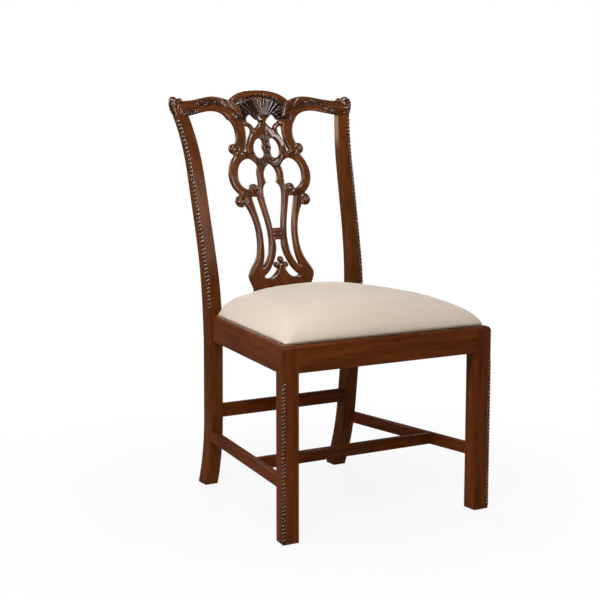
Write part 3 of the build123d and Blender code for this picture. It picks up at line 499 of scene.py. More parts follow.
def splat_relief(across, height):
    """Height of the splat's carving above its plain face, and how dark the wax and painted shade lie."""
    out = np.abs(across)
    relief = np.zeros(len(across))
    for place, radius, hand in SPLAT_SCROLLS:
        relief += volute(out, height, place, radius, hand)
    for place, radius in SPLAT_BUTTONS:
        relief += button(out, height, place, radius, 2.8)
    leaves = highest(leaf, out, height, SPLAT_LEAVES)
    relief += leaves
    for row in MIDDLE_CROSSINGS:
        relief += crossing(across, height, *row)
    for row in PAIRED_CROSSINGS:
        relief += crossing(out, height, *row)
    share, side = spine_place(across, height, RIBBON)
    twist = 0.23 * side * ease(0.02, 0.2, share) * ease(0.98, 0.8, share)
    relief -= twist * ease(12, 9, np.abs(side))
    tablet = ease(15, 12, out) * ease(611, 614, height) * ease(644, 641, height)
    bars = np.abs(np.sin(np.pi * (height - 613) / 9.7)) * (0.4 + 0.6 * np.abs(np.cos(np.pi * across / 8.4)))
    relief += tablet * (2.6 * np.sqrt(bars) - 1.4)
    # Carved parts and leaves are darkened with glaze and painted shade.
    return relief, 0.35 * ease(0.4, 1.4, np.abs(relief)) + 0.3 * ease(0.3, 1.2, leaves)


def crest_relief(across, height):
    """Height of the crest rail's carving above its plain face, and how dark the wax and painted shade lie,
    lighter where a highlight is painted.
    """
    out = np.abs(across)
    up = height - SHELL_FOOT
    reach, turn = np.hypot(across, up), np.arctan2(across, up)
    rib = np.abs(np.cos(np.pi * turn / RIB_TURN))
    rim = 66 + 10 * np.clip(turn / math.radians(55), -1.1, 1.1) ** 2 + 1.8 * rib
    share = reach / rim
    fan = ease(math.radians(88), math.radians(76), np.abs(turn)) * ease(1.10, 1.0, share)
    middle = ridge(turn, math.radians(21))
    ground = -2.8 * fan * ease(0.05, 0.2, share)
    shell = ease(0.18, 0.36, share) * ease(1.02, 0.93, share) * (1.0 + 4.0 * share)
    shell = shell * (0.08 + 0.92 * np.sqrt(rib))
    boss = button(out, height, (0, 911), 16, 4.6)
    relief = ground + np.maximum(fan * shell * (0.72 + 0.5 * middle), boss)
    # The shell's sides are darkened with glaze and painted shade; its middle palmette is left lighter, a painted
    # highlight.
    glaze_and_painted_light = fan * ease(0.1, 0.3, share) * (1.20 - 0.95 * middle)
    studs = np.abs(turn) / RIB_TURN - 0.5
    stud = np.hypot(reach - rim + 0.5, (studs - np.round(studs)) * RIB_TURN * reach)
    relief += 2.6 * fan * ease(30, 36, np.degrees(np.abs(turn))) * dome(stud / 2.9)
    leaves = highest(leaf, out, height, CREST_LEAVES)
    petals = highest(petal, out, height, CREST_PETALS)
    raised = np.maximum(leaves, petals)
    relief = np.where(raised > 0.3, np.maximum(relief, raised), relief)
    # Leaves are darkened with glaze and painted shade; the curled petals are kept almost clear, so they stay
    # light as a painted highlight.
    glaze_and_painted_light = np.maximum(glaze_and_painted_light, 0.70 * ease(0.2, 1.0, leaves))
    glaze_and_painted_light = np.where(petals > 0.4, 0.10, glaze_and_painted_light)
    # The small foliage beside the petals is darkened with glaze and painted shade.
    beside = ease(137, 128, out) * ease(56, 64, out) * ease(6, 3, petals) * (petals < 0.4)
    band = ease(15, 9, np.abs(height - 957 + 0.0075 * (out - 118) ** 2))
    glaze_and_painted_light = np.maximum(glaze_and_painted_light, 0.55 * beside * band)
    relief += volute(out, height, (247, 951), 10.0, -1, 1.8) * (leaves < 0.4)
    for place, radius in CREST_BUTTONS:
        relief += button(out, height, place, radius, 3.0)
    return relief, glaze_and_painted_light


def hollows(piece, heights, rounds):
    """How far each point stands above, or sinks below, its neighbourhood."""
    ends = np.zeros(len(piece.data.edges) * 2, int)
    piece.data.edges.foreach_get("vertices", ends)
    first, second = ends.reshape(-1, 2).T
    count = len(heights)
    degree = np.maximum(np.bincount(ends, minlength=count), 1)
    level = heights
    for _ in range(rounds):
        total = np.bincount(first, level[second], count) + np.bincount(second, level[first], count)
        level = total / degree
    return heights - level


def carve(piece, face, bend, thick, roundings_at, grid, keep, relief_at, joints_at):
    """Flattens a board, rounds its edges, carves its face and bends it back; notes hollows for the dark wax and
    painted shade, and raised parts for a painted highlight.
    """
    most_wax_and_shade = 0.92
    places = points_of(piece)
    across, front, height = places.T
    front -= face(across, height)
    move_points(piece, places)
    for layer in range(2):
        finish_modifier(piece, "REMESH", mode="VOXEL", voxel_size=grid)
        places = points_of(piece)
        across, front, height = places.T
        depth, joints = thick(across, height), joints_at(across, height)
        if layer == 0:
            front[:] = round_edges(places, depth, *roundings_at(across, height), joints)
            move_points(piece, places)
    wall = (front > 0.45 * depth) & (front < 0.75 * depth) & ~joints
    inner = nearest(places[:, [0, 2]], places[wall][:, [0, 2]])
    relief, glaze_and_painted_light = relief_at(across, height)
    facing = ease(0.62, 0.25, front / depth)
    front -= facing * relief * ease(0.1, 2.2, inner)
    move_points(piece, places)
    finish_modifier(piece, "SMOOTH", factor=0.35, iterations=1)
    places = points_of(piece)
    across, front, height = places.T
    sunk = hollows(piece, -front, 9)
    # Hollows get dark wax and painted shade; raised parts get lighter, as polish rubbed thin there and as painted
    # highlight.
    wax = glaze_and_painted_light + 0.75 * ease(-0.03, -0.5, sunk) - 0.40 * ease(0.1, 0.6, sunk)
    # The walls of the board and its piercings are darkened too, wax and painted shade together.
    wall_wax_and_shade = 0.5 * ease(0.45, 0.65, front / depth) * ease(0.97, 0.8, front / depth)
    note(piece, "wax", np.clip(facing * np.clip(wax, 0, most_wax_and_shade) + wall_wax_and_shade, 0, most_wax_and_shade))
    front += bend(across, height)
    move_points(piece, places)
    finish_modifier(piece, "DECIMATE", ratio=keep)
    smooth_shade(piece)


def plug(made, inputs):
    """Links or sets a node's inputs."""
    for key, value in inputs.items():
        if isinstance(value, bpy.types.NodeSocket):
            made.id_data.links.new(value, made.inputs[key])
        else:
            made.inputs[key].default_value = value


def node(tree, kind, inputs=None, **settings):
    """Adds a node with these settings, and links or values on its inputs."""
    made = tree.nodes.new(kind)
    for key, value in settings.items():
        setattr(made, key, value)
    plug(made, inputs or {})
    return made


def calc(tree, operation, *values):
    """Adds a math node over values or sockets."""
    return node(tree, "ShaderNodeMath", dict(enumerate(values)), operation=operation).outputs[0]


def noise(tree, place, scale, detail, **more):
    """Adds a noise pattern."""
    inputs = {"Vector": place, "Scale": scale, "Detail": detail, **more}
    return node(tree, "ShaderNodeTexNoise", inputs).outputs["Fac"]


def rescale(tree, value, source, result, **settings):
    """Adds a step from one range of values to another."""
    ends = zip(("From Min", "From Max", "To Min", "To Max"), (*source, *result))
    return node(tree, "ShaderNodeMapRange", {"Value": value, **dict(ends)}, **settings).outputs["Result"]


def mix(tree, share, first, second, way="MIX"):
    """Adds a mix of two colours."""
    inputs = {0: share, 6: first, 7: second}
    return node(tree, "ShaderNodeMix", inputs, data_type="RGBA", blend_type=way).outputs[2]


def ramp(tree, value, *stops):
    """Adds a colour ramp over a value; each stop is a place and a colour."""
    made = node(tree, "ShaderNodeValToRGB", {"Fac": value})
    while len(made.color_ramp.elements) < len(stops):
        made.color_ramp.elements.new(0.5)
    for element, (place, colour) in zip(made.color_ramp.elements, stops):
        element.position = place
        element.color = (*colour, 1)
    return made.outputs["Color"]


def blank_material(name):
    """A new material, its node tree and its shader."""
    material = bpy.data.materials.new(name)
    material.use_nodes = True
    tree = material.node_tree
    return material, tree, tree.nodes["Principled BSDF"]


def object_place(tree):
    """Object coordinates."""
    return node(tree, "ShaderNodeTexCoord").outputs["Object"]


def grain_place(tree, axis, along, turn=0.0):
    """Object coordinates turned to a splayed member and squeezed along the grain."""
    place = object_place(tree)
    if turn:
        place = node(tree, "ShaderNodeMapping", {"Vector": place, "Rotation": (0, 0, turn)}).outputs["Vector"]
    scale = [along if axis == letter else 1.0 for letter in "XYZ"]
    return node(tree, "ShaderNodeMapping", {"Vector": place, "Scale": scale}).outputs["Vector"]


def wood(name, axis, light, dark, gloss, coat, glaze_and_shade=None, turn=0.0):
    """Wood with figure, pores and a worn polish; carved wood also holds dark wax and painted shade in its
    hollows.
    """
    material, tree, shader = blank_material(name)
    figure = noise(tree, grain_place(tree, axis, 0.07, turn), 55.0, 5.0, Roughness=0.62, Distortion=0.4)
    pores = noise(tree, grain_place(tree, axis, 0.035, turn), 900.0, 2.0, Roughness=0.5)
    cloud = noise(tree, grain_place(tree, axis, 0.4, turn), 9.0, 2.0)
    between = [0.5 * (a + b) for a, b in zip(dark, light)]
    colour = ramp(tree, figure, (0.26, dark), (0.52, between), (0.77, light))
    shade = ramp(tree, cloud, (0.3, (0.80, 0.78, 0.76)), (0.7, (1.08, 1.06, 1.04)))
    speck = ramp(tree, pores, (0.36, (0.55, 0.50, 0.46)), (0.50, (1, 1, 1)))
    colour = mix(tree, 1.0, colour, shade, "MULTIPLY")
    colour = mix(tree, 0.6, colour, speck, "MULTIPLY")
    plug(shader, {"Coat Weight": coat, "Coat Roughness": 0.16, "Specular IOR Level": 0.0})
    if glaze_and_shade is not None:
        # The glaze colour mixed in here is dark wax and painted shade; the coat also thins in the deepest
        # hollows.
        wax = node(tree, "ShaderNodeAttribute", attribute_name="wax").outputs["Fac"]
        colour = mix(tree, wax, colour, (*glaze_and_shade, 1))
        plug(shader, {"Coat Weight": rescale(tree, wax, (0.8, 1.0), (coat, 0.1 * coat))})
    rough = rescale(tree, figure, (0.3, 0.7), (gloss + 0.08, gloss))
    bump = node(tree, "ShaderNodeBump", {"Height": pores, "Strength": 0.10, "Distance": 0.0004})
    plug(shader, {"Base Color": colour, "Roughness": rough, "Normal": bump.outputs["Normal"]})
    return material


def woven(name, light, dark, thread, rough, sheen, slub, laid=False):
    """Plain weave with uneven yarn and a soft sheen; laid cloth follows its own threads."""
    material, tree, shader = blank_material(name)
    if laid:
        place = node(tree, "ShaderNodeAttribute", attribute_name="threads").outputs["Vector"]
    else:
        place = object_place(tree)
    threads = []
    for axis in ((1, 0, 0.9), (0, 1, -0.9)):
        along = node(tree, "ShaderNodeVectorMath", {0: place, 1: axis}, operation="DOT_PRODUCT")
        turns = calc(tree, "MULTIPLY", along.outputs["Value"], 2 * math.pi / thread)
        threads.append(calc(tree, "SINE", turns))
    weave = calc(tree, "MULTIPLY", *threads)
    yarn = noise(tree, place, slub, 4.0, Roughness=0.6)
    mixed = calc(tree, "MULTIPLY_ADD", weave, 0.28, yarn)
    bump = node(tree, "ShaderNodeBump", {"Height": mixed, "Strength": 0.35, "Distance": 0.0005})
    plug(shader, {"Base Color": ramp(tree, mixed, (0.3, dark), (0.7, light)), "Normal": bump.outputs["Normal"]})
    plug(shader, {"Roughness": rough, "Specular IOR Level": 0.0, "Sheen Weight": sheen, "Sheen Roughness": 0.5})
    return material


def dress(piece, material):
    """Gives a piece one material all over."""
    piece.data.materials.clear()
    piece.data.materials.append(material)


def polish(name, axis, carved=False, turn=0.0, tint=FULL):
    """The chair's polished mahogany, with its grain along an axis."""
    finish = bpy.context.scene.chair_finish
    glaze_and_shade, coat = (finish.glaze_and_shade, 0.10) if carved else (None, 0.06)
    light, dark = ([a * b for a, b in zip(shade, tint)] for shade in (finish.wood_light, finish.wood_dark))
    return wood(name, axis, light, dark, 0.30, coat, glaze_and_shade, turn)


def joined_corners():
    """Node group that merges a frame part's loose triangles and shades it smooth but for its edges."""
    group = bpy.data.node_groups.new("joined_corners", "GeometryNodeTree")
    for way in ("INPUT", "OUTPUT"):
        group.interface.new_socket("Geometry", in_out=way, socket_type="NodeSocketGeometry")
    shape = node(group, "NodeGroupInput").outputs[0]
    turn = node(group, "GeometryNodeInputMeshEdgeAngle").outputs["Unsigned Angle"]
    limits = {"A": turn, "B": math.radians(30)}
    blunt = node(group, "FunctionNodeCompare", limits, operation="LESS_THAN").outputs["Result"]
    for kind, inputs, settings in (
        ("GeometryNodeRemoveAttribute", {"Name": "custom_normal"}, {}),
        ("GeometryNodeMergeByDistance", {"Distance": 0.00001}, {}),
        ("GeometryNodeSetShadeSmooth", {}, {"domain": "FACE"}),
        ("GeometryNodeSetShadeSmooth", {"Shade Smooth": blunt}, {"domain": "EDGE"}),
    ):
        shape = node(group, kind, {"Geometry": shape, **inputs}, **settings).outputs[0]
    node(group, "NodeGroupOutput", {0: shape})
    return group


class CHAIR_OT_joinery(Operator):
    """Polishes the joined frame and eases its sharp edges"""

    bl_idname = "chair.joinery"
    bl_label = "Polish Joinery"

    def ease_edges(self, part, corners, width):
        """Takes the sharpness off a part's edges, with its mesh left as it is."""
        part.modifiers.new("Joined corners", "NODES").node_group = corners
        bevel = part.modifiers.new("Eased edges", "BEVEL")
        bevel.width = width
        bevel.segments = 2
        bevel.limit_method = "ANGLE"
        bevel.angle_limit = math.radians(35)

    def execute(self, context):
        finish = context.scene.chair_finish
        corners = joined_corners()
        for mahogany, axis, turn, tint, names in SHOW_WOOD:
            material = polish(mahogany, axis, False, turn, tint)
            for name in names:
                dress(NODES[name], material)
                if name.endswith(("leg", "rail", "stretcher")):
                    width = STRETCHER_EASE if "stretcher" in name else EDGE_EASE
                    self.ease_edges(NODES[name], corners, width * MM)
        for axis, names in PLAIN_WOOD.items():
            plain = f"plain_along_{axis.lower()}"
            material = wood(plain, axis, finish.plain_light, finish.plain_dark, 0.62, 0.0)
            for name in names:
                dress(NODES[name], material)
        return {"FINISHED"}


class CHAIR_OT_screws(Operator):
    """Gives the corner-block screws their brushed steel"""

    bl_idname = "chair.screws"
    bl_label = "Finish Screws"

    def execute(self, context):
        material, tree, shader = blank_material("screw_steel")
        scratch = noise(tree, grain_place(tree, "X", 0.1), 700.0, 3.0)
        colour = ramp(tree, scratch, (0.3, (0.30, 0.30, 0.31)), (0.7, (0.46, 0.46, 0.47)))
        rough = rescale(tree, scratch, (0.0, 1.0), (0.28, 0.48))
        plug(shader, {"Base Color": colour, "Roughness": rough, "Metallic": 1.0})
        dress(NODES["corner_block_screws"], material)
        return {"FINISHED"}


def splat_front(across, height):
    """Front face of the splat, which follows the posts' rake."""
    return SPLAT_FACE + back_setback(height)


def splat_bend(across, height):
    """The splat's face, drawn forward at its top to meet the bowed crest rail."""
    return splat_front(across, height) - crest_sweep(across) * ease(SWEEP_FOOT, JOINT_HEIGHT, height)


def splat_joints(across, height):
    """Where the splat's walls are hidden, in the crest rail and in the shoe."""
    return (height > JOINT_HEIGHT - JOINT_MARGIN) | (height < SHOE_TOP + JOINT_MARGIN)


class CHAIR_OT_splat(Operator):
    """Carves the pierced splat"""

    bl_idname = "chair.splat"
    bl_label = "Carve Splat"

    def execute(self, context):
        carving = context.scene.chair_carving
        piece = copy_of("back_splat", "carved_splat")
        carve(
            piece,
            splat_front,
            splat_bend,
            lambda x, z: SPLAT_THICK,
            lambda x, z: (carving.strap_rounding / MM, SPLAT_BACK_ROUND),
            carving.splat_grid,
            0.5,
            splat_relief,
            splat_joints,
        )
        dress(piece, polish("mahogany_splat", "Z", True))
        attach(piece, "frame")
        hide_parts("back_splat")
        return {"FINISHED"}


def crest_joints(across, height):
    """Where the crest rail's walls are hidden: its shoulders and mortises on the posts and the splat."""
    out = np.abs(across)
    hidden = (height < JOINT_HEIGHT + JOINT_MARGIN) | (out > POST_SHOULDER) & (height < POST_TOP + JOINT_MARGIN)
    for inner, outer, top in CREST_MORTISES:
        hidden |= (out > inner) & (out < outer) & (height < top)
    return hidden


def crest_bend(across, height):
    """The crest rail's face, drawn flush with the posts' flat faces where it stands on them."""
    face = crest_front(across, height)
    return face + blend(across, height, *POST_FLUSH) * (BACK_FACE + back_setback(height) - face)


def crest_roundings(across, height, rounding):
    """Front and back edge rounding of the crest rail, less where it meets the posts and the splat."""
    front = rounding * (1 - 0.85 * blend(across, height, *POST_BLEND))
    return front, front * (1 - 0.68 * blend(across, height, *SPLAT_BLEND))


class CHAIR_OT_crest(Operator):
    """Carves the crest rail with its shell, leaves and ears"""

    bl_idname = "chair.crest"
    bl_label = "Carve Crest Rail"

    def ear_lobe(self, piece, side):
        """Adds the small round lobe at the inner side of an ear."""
        (across, height), thick = EAR_LOBE, 14.0
        middle = float(crest_front(across, height)) + thick / 2
        bpy.ops.object.select_all(action="DESELECT")
        bpy.ops.mesh.primitive_cylinder_add(
            vertices=32,
            radius=0.0068,
            depth=thick * MM,
            location=(side * across * MM, middle * MM, height * MM),
            rotation=(math.pi / 2, 0, 0),
        )
        join([piece, bpy.context.object])

    def execute(self, context):
        carving = context.scene.chair_carving
        piece = copy_of("crest_rail", "carved_crest_rail")
        for side in (-1, 1):
            self.ear_lobe(piece, side)
        carve(
            piece,
            crest_front,
            crest_bend,
            lambda x, z: CREST_THICK - CREST_TAPER * (z - POST_TOP) / CREST_RISE,
            lambda x, z: crest_roundings(x, z, carving.crest_rounding / MM),
            carving.crest_grid,
            0.7,
            crest_relief,
            crest_joints,
        )
        dress(piece, polish("mahogany_crest", "X", True))
        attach(piece, "frame")
        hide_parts("crest_rail")
        return {"FINISHED"}


class CHAIR_OT_beads(Operator):
    """Lays rope beads along the outer front edges of the legs and posts"""

    bl_idname = "chair.beads"
    bl_label = "Lay Rope Beads"

    def strand(self, size, pitch, slant):
        """One turn of the rope: a slanted strand over a core painted dark as shade, with painted shade at the
        strand's ends.
        """
        bpy.ops.object.select_all(action="DESELECT")
        bpy.ops.mesh.primitive_cylinder_add(vertices=8, radius=0.36 * size * MM, depth=1.1 * pitch * MM)
        core = bpy.context.object
        # The core is painted near black as the shade between the strands.
        note(core, "wax", np.full(len(core.data.vertices), DEEP_WAX_AND_SHADE))
        bpy.ops.mesh.primitive_uv_sphere_add(segments=12, ring_count=7, radius=size / 2 * MM)
        strand = bpy.context.object
        with editing(strand):
            bpy.ops.transform.resize(value=(1.0, 1.0, 0.84 * pitch / size))
        places = points_of(strand)
        ends = np.abs(places[:, 2]) / np.abs(places[:, 2]).max()
        # The strand's top and bottom are darkened, painted shade in the gaps.
        note(strand, "wax", DEEP_WAX_AND_SHADE * ease(0.32, 0.80, ends))
        places[:, 2] += slant * places[:, 0]
        move_points(strand, places)
        return join([strand, core])

    def line(self, part, side, height):
        """Middle of the rope at a height, on the outer front edge of a leg or post."""
        if part == "leg":
            edge, face = LEG_EDGE, LEG_FACE
        else:
            edge, face = float(post_edge(height)), BACK_FACE + float(back_setback(height))
        return np.array((side * (edge - ROPE_INSET), face + ROPE_INSET, height))

    def execute(self, context):
        carving = context.scene.chair_carving
        finish = context.scene.chair_finish
        size = carving.bead_size / MM
        material = wood("mahogany_rope", "Z", finish.wood_light, finish.wood_dark, 0.28, 0.20, finish.glaze_and_shade)
        for name, side in (("left", -1), ("right", 1)):
            for part, low, high in ROPES:
                pitch = getattr(carving, f"{part}_bead_pitch") / MM
                strand = self.strand(size, pitch, -STRAND_SLANT * side)
                shape = points_of(strand)
                rope = []
                for height in np.arange(low + 0.4 * pitch, high - 0.3 * pitch, pitch):
                    lean = (self.line(part, side, height + 2) - self.line(part, side, height - 2)) / 4
                    places = shape + shape[:, 2:] * (lean - (0, 0, 1))
                    copy = strand.copy()
                    copy.data = strand.data.copy()
                    context.scene.collection.objects.link(copy)
                    move_points(copy, places + self.line(part, side, height))
                    rope.append(copy)
                bpy.data.objects.remove(strand)
                piece = join(rope)
                piece.name = f"{name}_{part}_beads"
                smooth_shade(piece, 50)
                dress(piece, material)
                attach(piece, "frame")
        return {"FINISHED"}


class CHAIR_OT_cushion(Operator):
    """Fills the seat cover by cloth simulation and turns its edge under the seat frame"""

    bl_idname = "chair.cushion"
    bl_label = "Fill Seat Cushion"

    def straighten_sides(self, cushion):
        """Draws the low side walls true along their splay, which the remesh leaves in small steps."""
        corner, reach, foot, top = 18, 9, 1.5, 26
        places = points_of(cushion)
        front, rear, front_half, rear_half = plan_of(points_of(NODES["seat_pad"]))
        out = np.abs(places[:, 0])
        edge = front_half + (rear_half - front_half) * (places[:, 1] - front) / (rear - front)
        above = places[:, 2] - places[:, 2].min()
        inside = (places[:, 1] > front + corner) & (places[:, 1] < rear - corner)
        near = inside & (edge - out < reach) & (above > foot) & (above < top)
        fit = np.polynomial.Polynomial.fit(above[near], (edge - out)[near], 4)
        share = near * ease(top, 12, above) * ease(foot, 3.5, above)
        places[:, 0] = np.sign(places[:, 0]) * (out + share * (edge - fit(above) - out))
        move_points(cushion, places)

    def fill(self, context, cushion):
        """Inflates the cover, with its lower edge held on the frame, and draws it smooth."""
        seat = context.scene.chair_seat
        tacked = 7
        start = points_of(cushion)
        held = cushion.vertex_groups.new(name="tacked_edge")
        held.add(np.nonzero(start[:, 2] < start[:, 2].min() + tacked)[0].tolist(), 1.0, "REPLACE")
        cloth = cushion.modifiers.new("Cloth", "CLOTH")
        cloth.settings.quality = 5
        cloth.settings.vertex_group_mass = held.name
        cloth.settings.use_pressure = True
        cloth.settings.uniform_pressure_force = seat.pressure
        cloth.settings.effector_weights.gravity = 0
        cloth.point_cache.frame_start = 1
        cloth.point_cache.frame_end = seat.frames
        for step in range(1, seat.frames + 1):
            context.scene.frame_set(step)
        shift = points_of(cushion.evaluated_get(context.evaluated_depsgraph_get())) - start
        cushion.modifiers.remove(cloth)
        context.scene.frame_set(1)
        far = np.linalg.norm(shift, axis=1, keepdims=True)
        limit = seat.swell / MM
        move_points(cushion, start + shift * np.minimum(1, limit / np.maximum(far, 1e-6)))
        finish_modifier(
            cushion, "SMOOTH", factor=0.5, iterations=14, vertex_group=held.name, invert_vertex_group=True
        )

    def roll_over(self, cushion):
        """Lets the stuffing roll out over the lip of the front and side rails."""
        roll, rear_start, rear_end = 4.0, 415, 446
        places = points_of(cushion)
        normals = np.zeros(places.size)
        cushion.data.vertices.foreach_get("normal", normals)
        above, behind = places[:, 2], places[:, 1] - LEG_FACE
        band = ease(RAIL_TOP + 0.8, RAIL_TOP + 5, above) * ease(RAIL_TOP + 45, RAIL_TOP + 12, above)
        share = roll * band * ease(rear_end, rear_start, behind)
        places[:, :2] += normals.reshape(-1, 3)[:, :2] * share[:, None]
        move_points(cushion, places)

    def lay_threads(self, cushion):
        """Notes how far each point lies along the warp and the weft, measured down over the crown."""
        places = points_of(cushion)
        away = places[:, :2] - 0.5 * (places[:, :2].min(axis=0) + places[:, :2].max(axis=0))
        reach = np.maximum(np.linalg.norm(away, axis=1, keepdims=True), 1e-6)
        drop = places[:, 2].max() - places[:, 2:]
        threads = np.zeros(places.shape)
        threads[:, :2] = away * (1 + drop / reach) * MM
        note(cushion, "threads", threads, "FLOAT_VECTOR", "vector")

    def cover_edge(self):
        """The part of the seat cover that is drawn down the seat frame and under it."""
        wrap = copy_of("seat_cover", "seat_cover_turnunder")
        with editing(wrap):
            bpy.ops.mesh.bisect(plane_co=(0, 0, 0.4396), plane_no=(0, 0, 1), use_fill=True, clear_outer=True)
        return wrap

    def execute(self, context):
        seat = context.scene.chair_seat
        finish = context.scene.chair_finish
        cushion = copy_of("seat_pad", "seat_cushion")
        finish_modifier(cushion, "REMESH", mode="VOXEL", voxel_size=seat.grid)
        finish_modifier(cushion, "SMOOTH", factor=0.5, iterations=6)
        self.straighten_sides(cushion)
        self.fill(context, cushion)
        self.roll_over(cushion)
        finish_modifier(cushion, "SUBSURF", levels=1, render_levels=1)
        smooth_shade(cushion)
        self.lay_threads(cushion)
        cloth = finish.fabric, finish.fabric_shade, 0.0034, 0.85, 0.25, 320.0
        dress(cushion, woven("ivory_fabric", *cloth, laid=True))
        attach(cushion, "slip_seat")
        wrap = self.cover_edge()
        dress(wrap, woven("ivory_fabric_edge", *cloth))
        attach(wrap, "slip_seat")
        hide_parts("seat_pad", "seat_cover")
        edge = points_of(wrap)
        return {"FINISHED"}


class CHAIR_OT_underside(Operator):
    """Stretches the dust cover under the seat and weaves the hidden webbing and hessian"""

    bl_idname = "chair.underside"
    bl_label = "Cover Underside"

    def execute(self, context):
        low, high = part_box("dust_cover")
        front_half, rear_half = plan_of(points_of(NODES["dust_cover"]))[2:]
        bpy.ops.object.select_all(action="DESELECT")
        bpy.ops.mesh.primitive_grid_add(x_subdivisions=36, y_subdivisions=30, size=2)
        cover = context.object
        cover.name = "stretched_dust_cover"
        places = points_of(cover) * MM
        across, along = places[:, 0].copy(), places[:, 1].copy()
        half = front_half + (rear_half - front_half) * (along + 1) / 2
        sag = (1 - across**2) * (1 - along**2)
        places[:, 0] = across * half
        places[:, 1] = (low.y + (high.y - low.y) * (along + 1) / 2) / MM
        places[:, 2] = low.z / MM - 0.1 + 0.9 * sag
        move_points(cover, places)
        finish_modifier(cover, "SOLIDIFY", thickness=0.0004, offset=1)
        smooth_shade(cover, 40)
        dust = (0.030, 0.030, 0.032), (0.014, 0.014, 0.015), 0.0009, 0.9, 0.1, 300.0
        dress(cover, woven("dust_cloth", *dust))
        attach(cover, "slip_seat")
        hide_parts("dust_cover")
        jute = woven("jute_webbing", (0.36, 0.23, 0.11), (0.19, 0.11, 0.05), 0.0022, 0.95, 0.1, 180.0)
        for name in ("lengthwise_webbing", "crosswise_webbing"):
            dress(NODES[name], jute)
        hessian = woven("hessian", (0.40, 0.27, 0.14), (0.22, 0.14, 0.07), 0.0016, 0.95, 0.1, 220.0)
        dress(NODES["seat_hessian"], hessian)
        return {"FINISHED"}


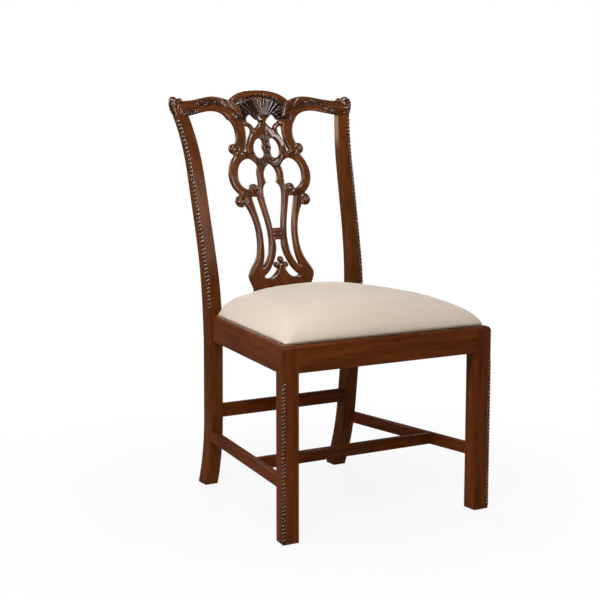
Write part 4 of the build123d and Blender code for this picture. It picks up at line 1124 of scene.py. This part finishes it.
class CHAIR_OT_stage(Operator):
    """Sets the pale floor, the soft lamps and the camera"""

    bl_idname = "chair.stage"
    bl_label = "Set Stage"

    def white_background(self, tree):
        """1 for the rays that show the plain white background."""
        path = node(tree, "ShaderNodeLightPath")
        seen = calc(tree, "MAXIMUM", path.outputs["Is Camera Ray"], path.outputs["Is Glossy Ray"])
        return calc(tree, "MAXIMUM", seen, path.outputs["Is Transmission Ray"])

    def floor(self):
        """Lays a pale floor that keeps a faint shade round the chair's feet and is white further off."""
        bpy.ops.object.select_all(action="DESELECT")
        bpy.ops.mesh.primitive_plane_add(size=40)
        floor = bpy.context.object
        floor.name = "floor"
        material, tree, shader = blank_material("pale_floor")
        place = object_place(tree)
        mottle = noise(tree, place, 3.0, 3.0)
        colour = ramp(tree, mottle, (0.3, (0.63, 0.63, 0.63)), (0.7, (0.67, 0.67, 0.67)))
        plug(shader, {"Base Color": colour, "Roughness": 0.9, "Specular IOR Level": 0.1})
        glow = node(tree, "ShaderNodeEmission", {"Color": (1, 1, 1, 1), "Strength": 1.0})
        away = node(tree, "ShaderNodeVectorMath", {0: place}, operation="LENGTH").outputs["Value"]
        plain = rescale(tree, away, (0.3, 1.1), (0.88, 1.0), interpolation_type="SMOOTHSTEP")
        share = calc(tree, "MULTIPLY", self.white_background(tree), plain)
        mixed = {0: share, 1: shader.outputs["BSDF"], 2: glow.outputs["Emission"]}
        mixed = node(tree, "ShaderNodeMixShader", mixed)
        plug(tree.nodes["Material Output"], {"Surface": mixed.outputs["Shader"]})
        dress(floor, material)

    def lamp(self, name, place, target, size, power, gloss_only=False, tint=WHITE):
        """Hangs a square lamp that faces a target."""
        bpy.ops.object.light_add(type="AREA", location=place)
        lamp = bpy.context.object
        lamp.name = name
        lamp.rotation_euler = (Vector(target) - Vector(place)).to_track_quat("-Z", "Y").to_euler()
        lamp.data.size = size
        lamp.data.energy = power
        lamp.data.color = tint
        lamp.visible_camera = False
        lamp.visible_diffuse = not gloss_only

    def camera(self, context, stage):
        """Sets the camera at the photograph's angle."""
        level = math.cos(stage.elevation)
        out = Vector(
            (math.sin(stage.azimuth) * level, -math.cos(stage.azimuth) * level, math.sin(stage.elevation))
        )
        bpy.ops.object.camera_add(location=Vector(CAMERA_TARGET) + out * stage.distance)
        camera = context.object
        camera.rotation_euler = (-out).to_track_quat("-Z", "Y").to_euler()
        camera.data.lens = stage.lens
        camera.data.sensor_width = 36
        camera.data.clip_end = 60
        context.scene.camera = camera

    def execute(self, context):
        stage = context.scene.chair_stage
        self.floor()
        world = bpy.data.worlds.new("studio")
        context.scene.world = world
        world.use_nodes = True
        tree = world.node_tree
        level = rescale(tree, self.white_background(tree), (0.0, 1.0), (0.17, 1.0))
        plug(tree.nodes["Background"], {"Color": (1, 1, 1, 1), "Strength": level})
        for name, place, target, size in LAMPS:
            self.lamp(f"{name}_light", place, target, size, getattr(stage, f"{name}_power"))
        for name, place, size, share, tint in GLOSS_CARDS:
            self.lamp(name, place, MIDDLE, size, share * stage.gloss_power * size**2, True, tint)
        self.camera(context, stage)
        context.scene.view_settings.view_transform = "Standard"
        return {"FINISHED"}


class CHAIR_PT_panel(Panel):
    """Lists the chair's steps and sizes"""

    bl_idname = "CHAIR_PT_panel"
    bl_label = "Carved Side Chair"
    bl_space_type = "VIEW_3D"
    bl_region_type = "UI"
    bl_category = "Chair"

    def draw(self, context):
        for step in STEPS:
            self.layout.operator(step.bl_idname)
        for group in GROUPS:
            box = self.layout.box()
            for key in GROUPS[group].__annotations__:
                box.prop(getattr(context.scene, group), key)


GROUPS = {
    "chair_finish": ChairFinish,
    "chair_carving": ChairCarving,
    "chair_seat": ChairSeat,
    "chair_stage": ChairStage,
}
STEPS = (
    CHAIR_OT_stage,
    CHAIR_OT_joinery,
    CHAIR_OT_screws,
    CHAIR_OT_splat,
    CHAIR_OT_crest,
    CHAIR_OT_beads,
    CHAIR_OT_cushion,
    CHAIR_OT_underside,
)


def register():
    for group in (*GROUPS.values(), *STEPS, CHAIR_PT_panel):
        bpy.utils.register_class(group)
    for name, group in GROUPS.items():
        setattr(bpy.types.Scene, name, PointerProperty(type=group))


def unregister():
    for name in GROUPS:
        delattr(bpy.types.Scene, name)
    for group in reversed((*GROUPS.values(), *STEPS, CHAIR_PT_panel)):
        bpy.utils.unregister_class(group)


def main():
    register()
    bpy.ops.chair.stage()
    bpy.ops.chair.joinery()
    bpy.ops.chair.screws()
    bpy.ops.chair.splat()
    bpy.ops.chair.crest()
    bpy.ops.chair.beads()
    bpy.ops.chair.cushion()
    bpy.ops.chair.underside()


if __name__ == "__main__":
    main()
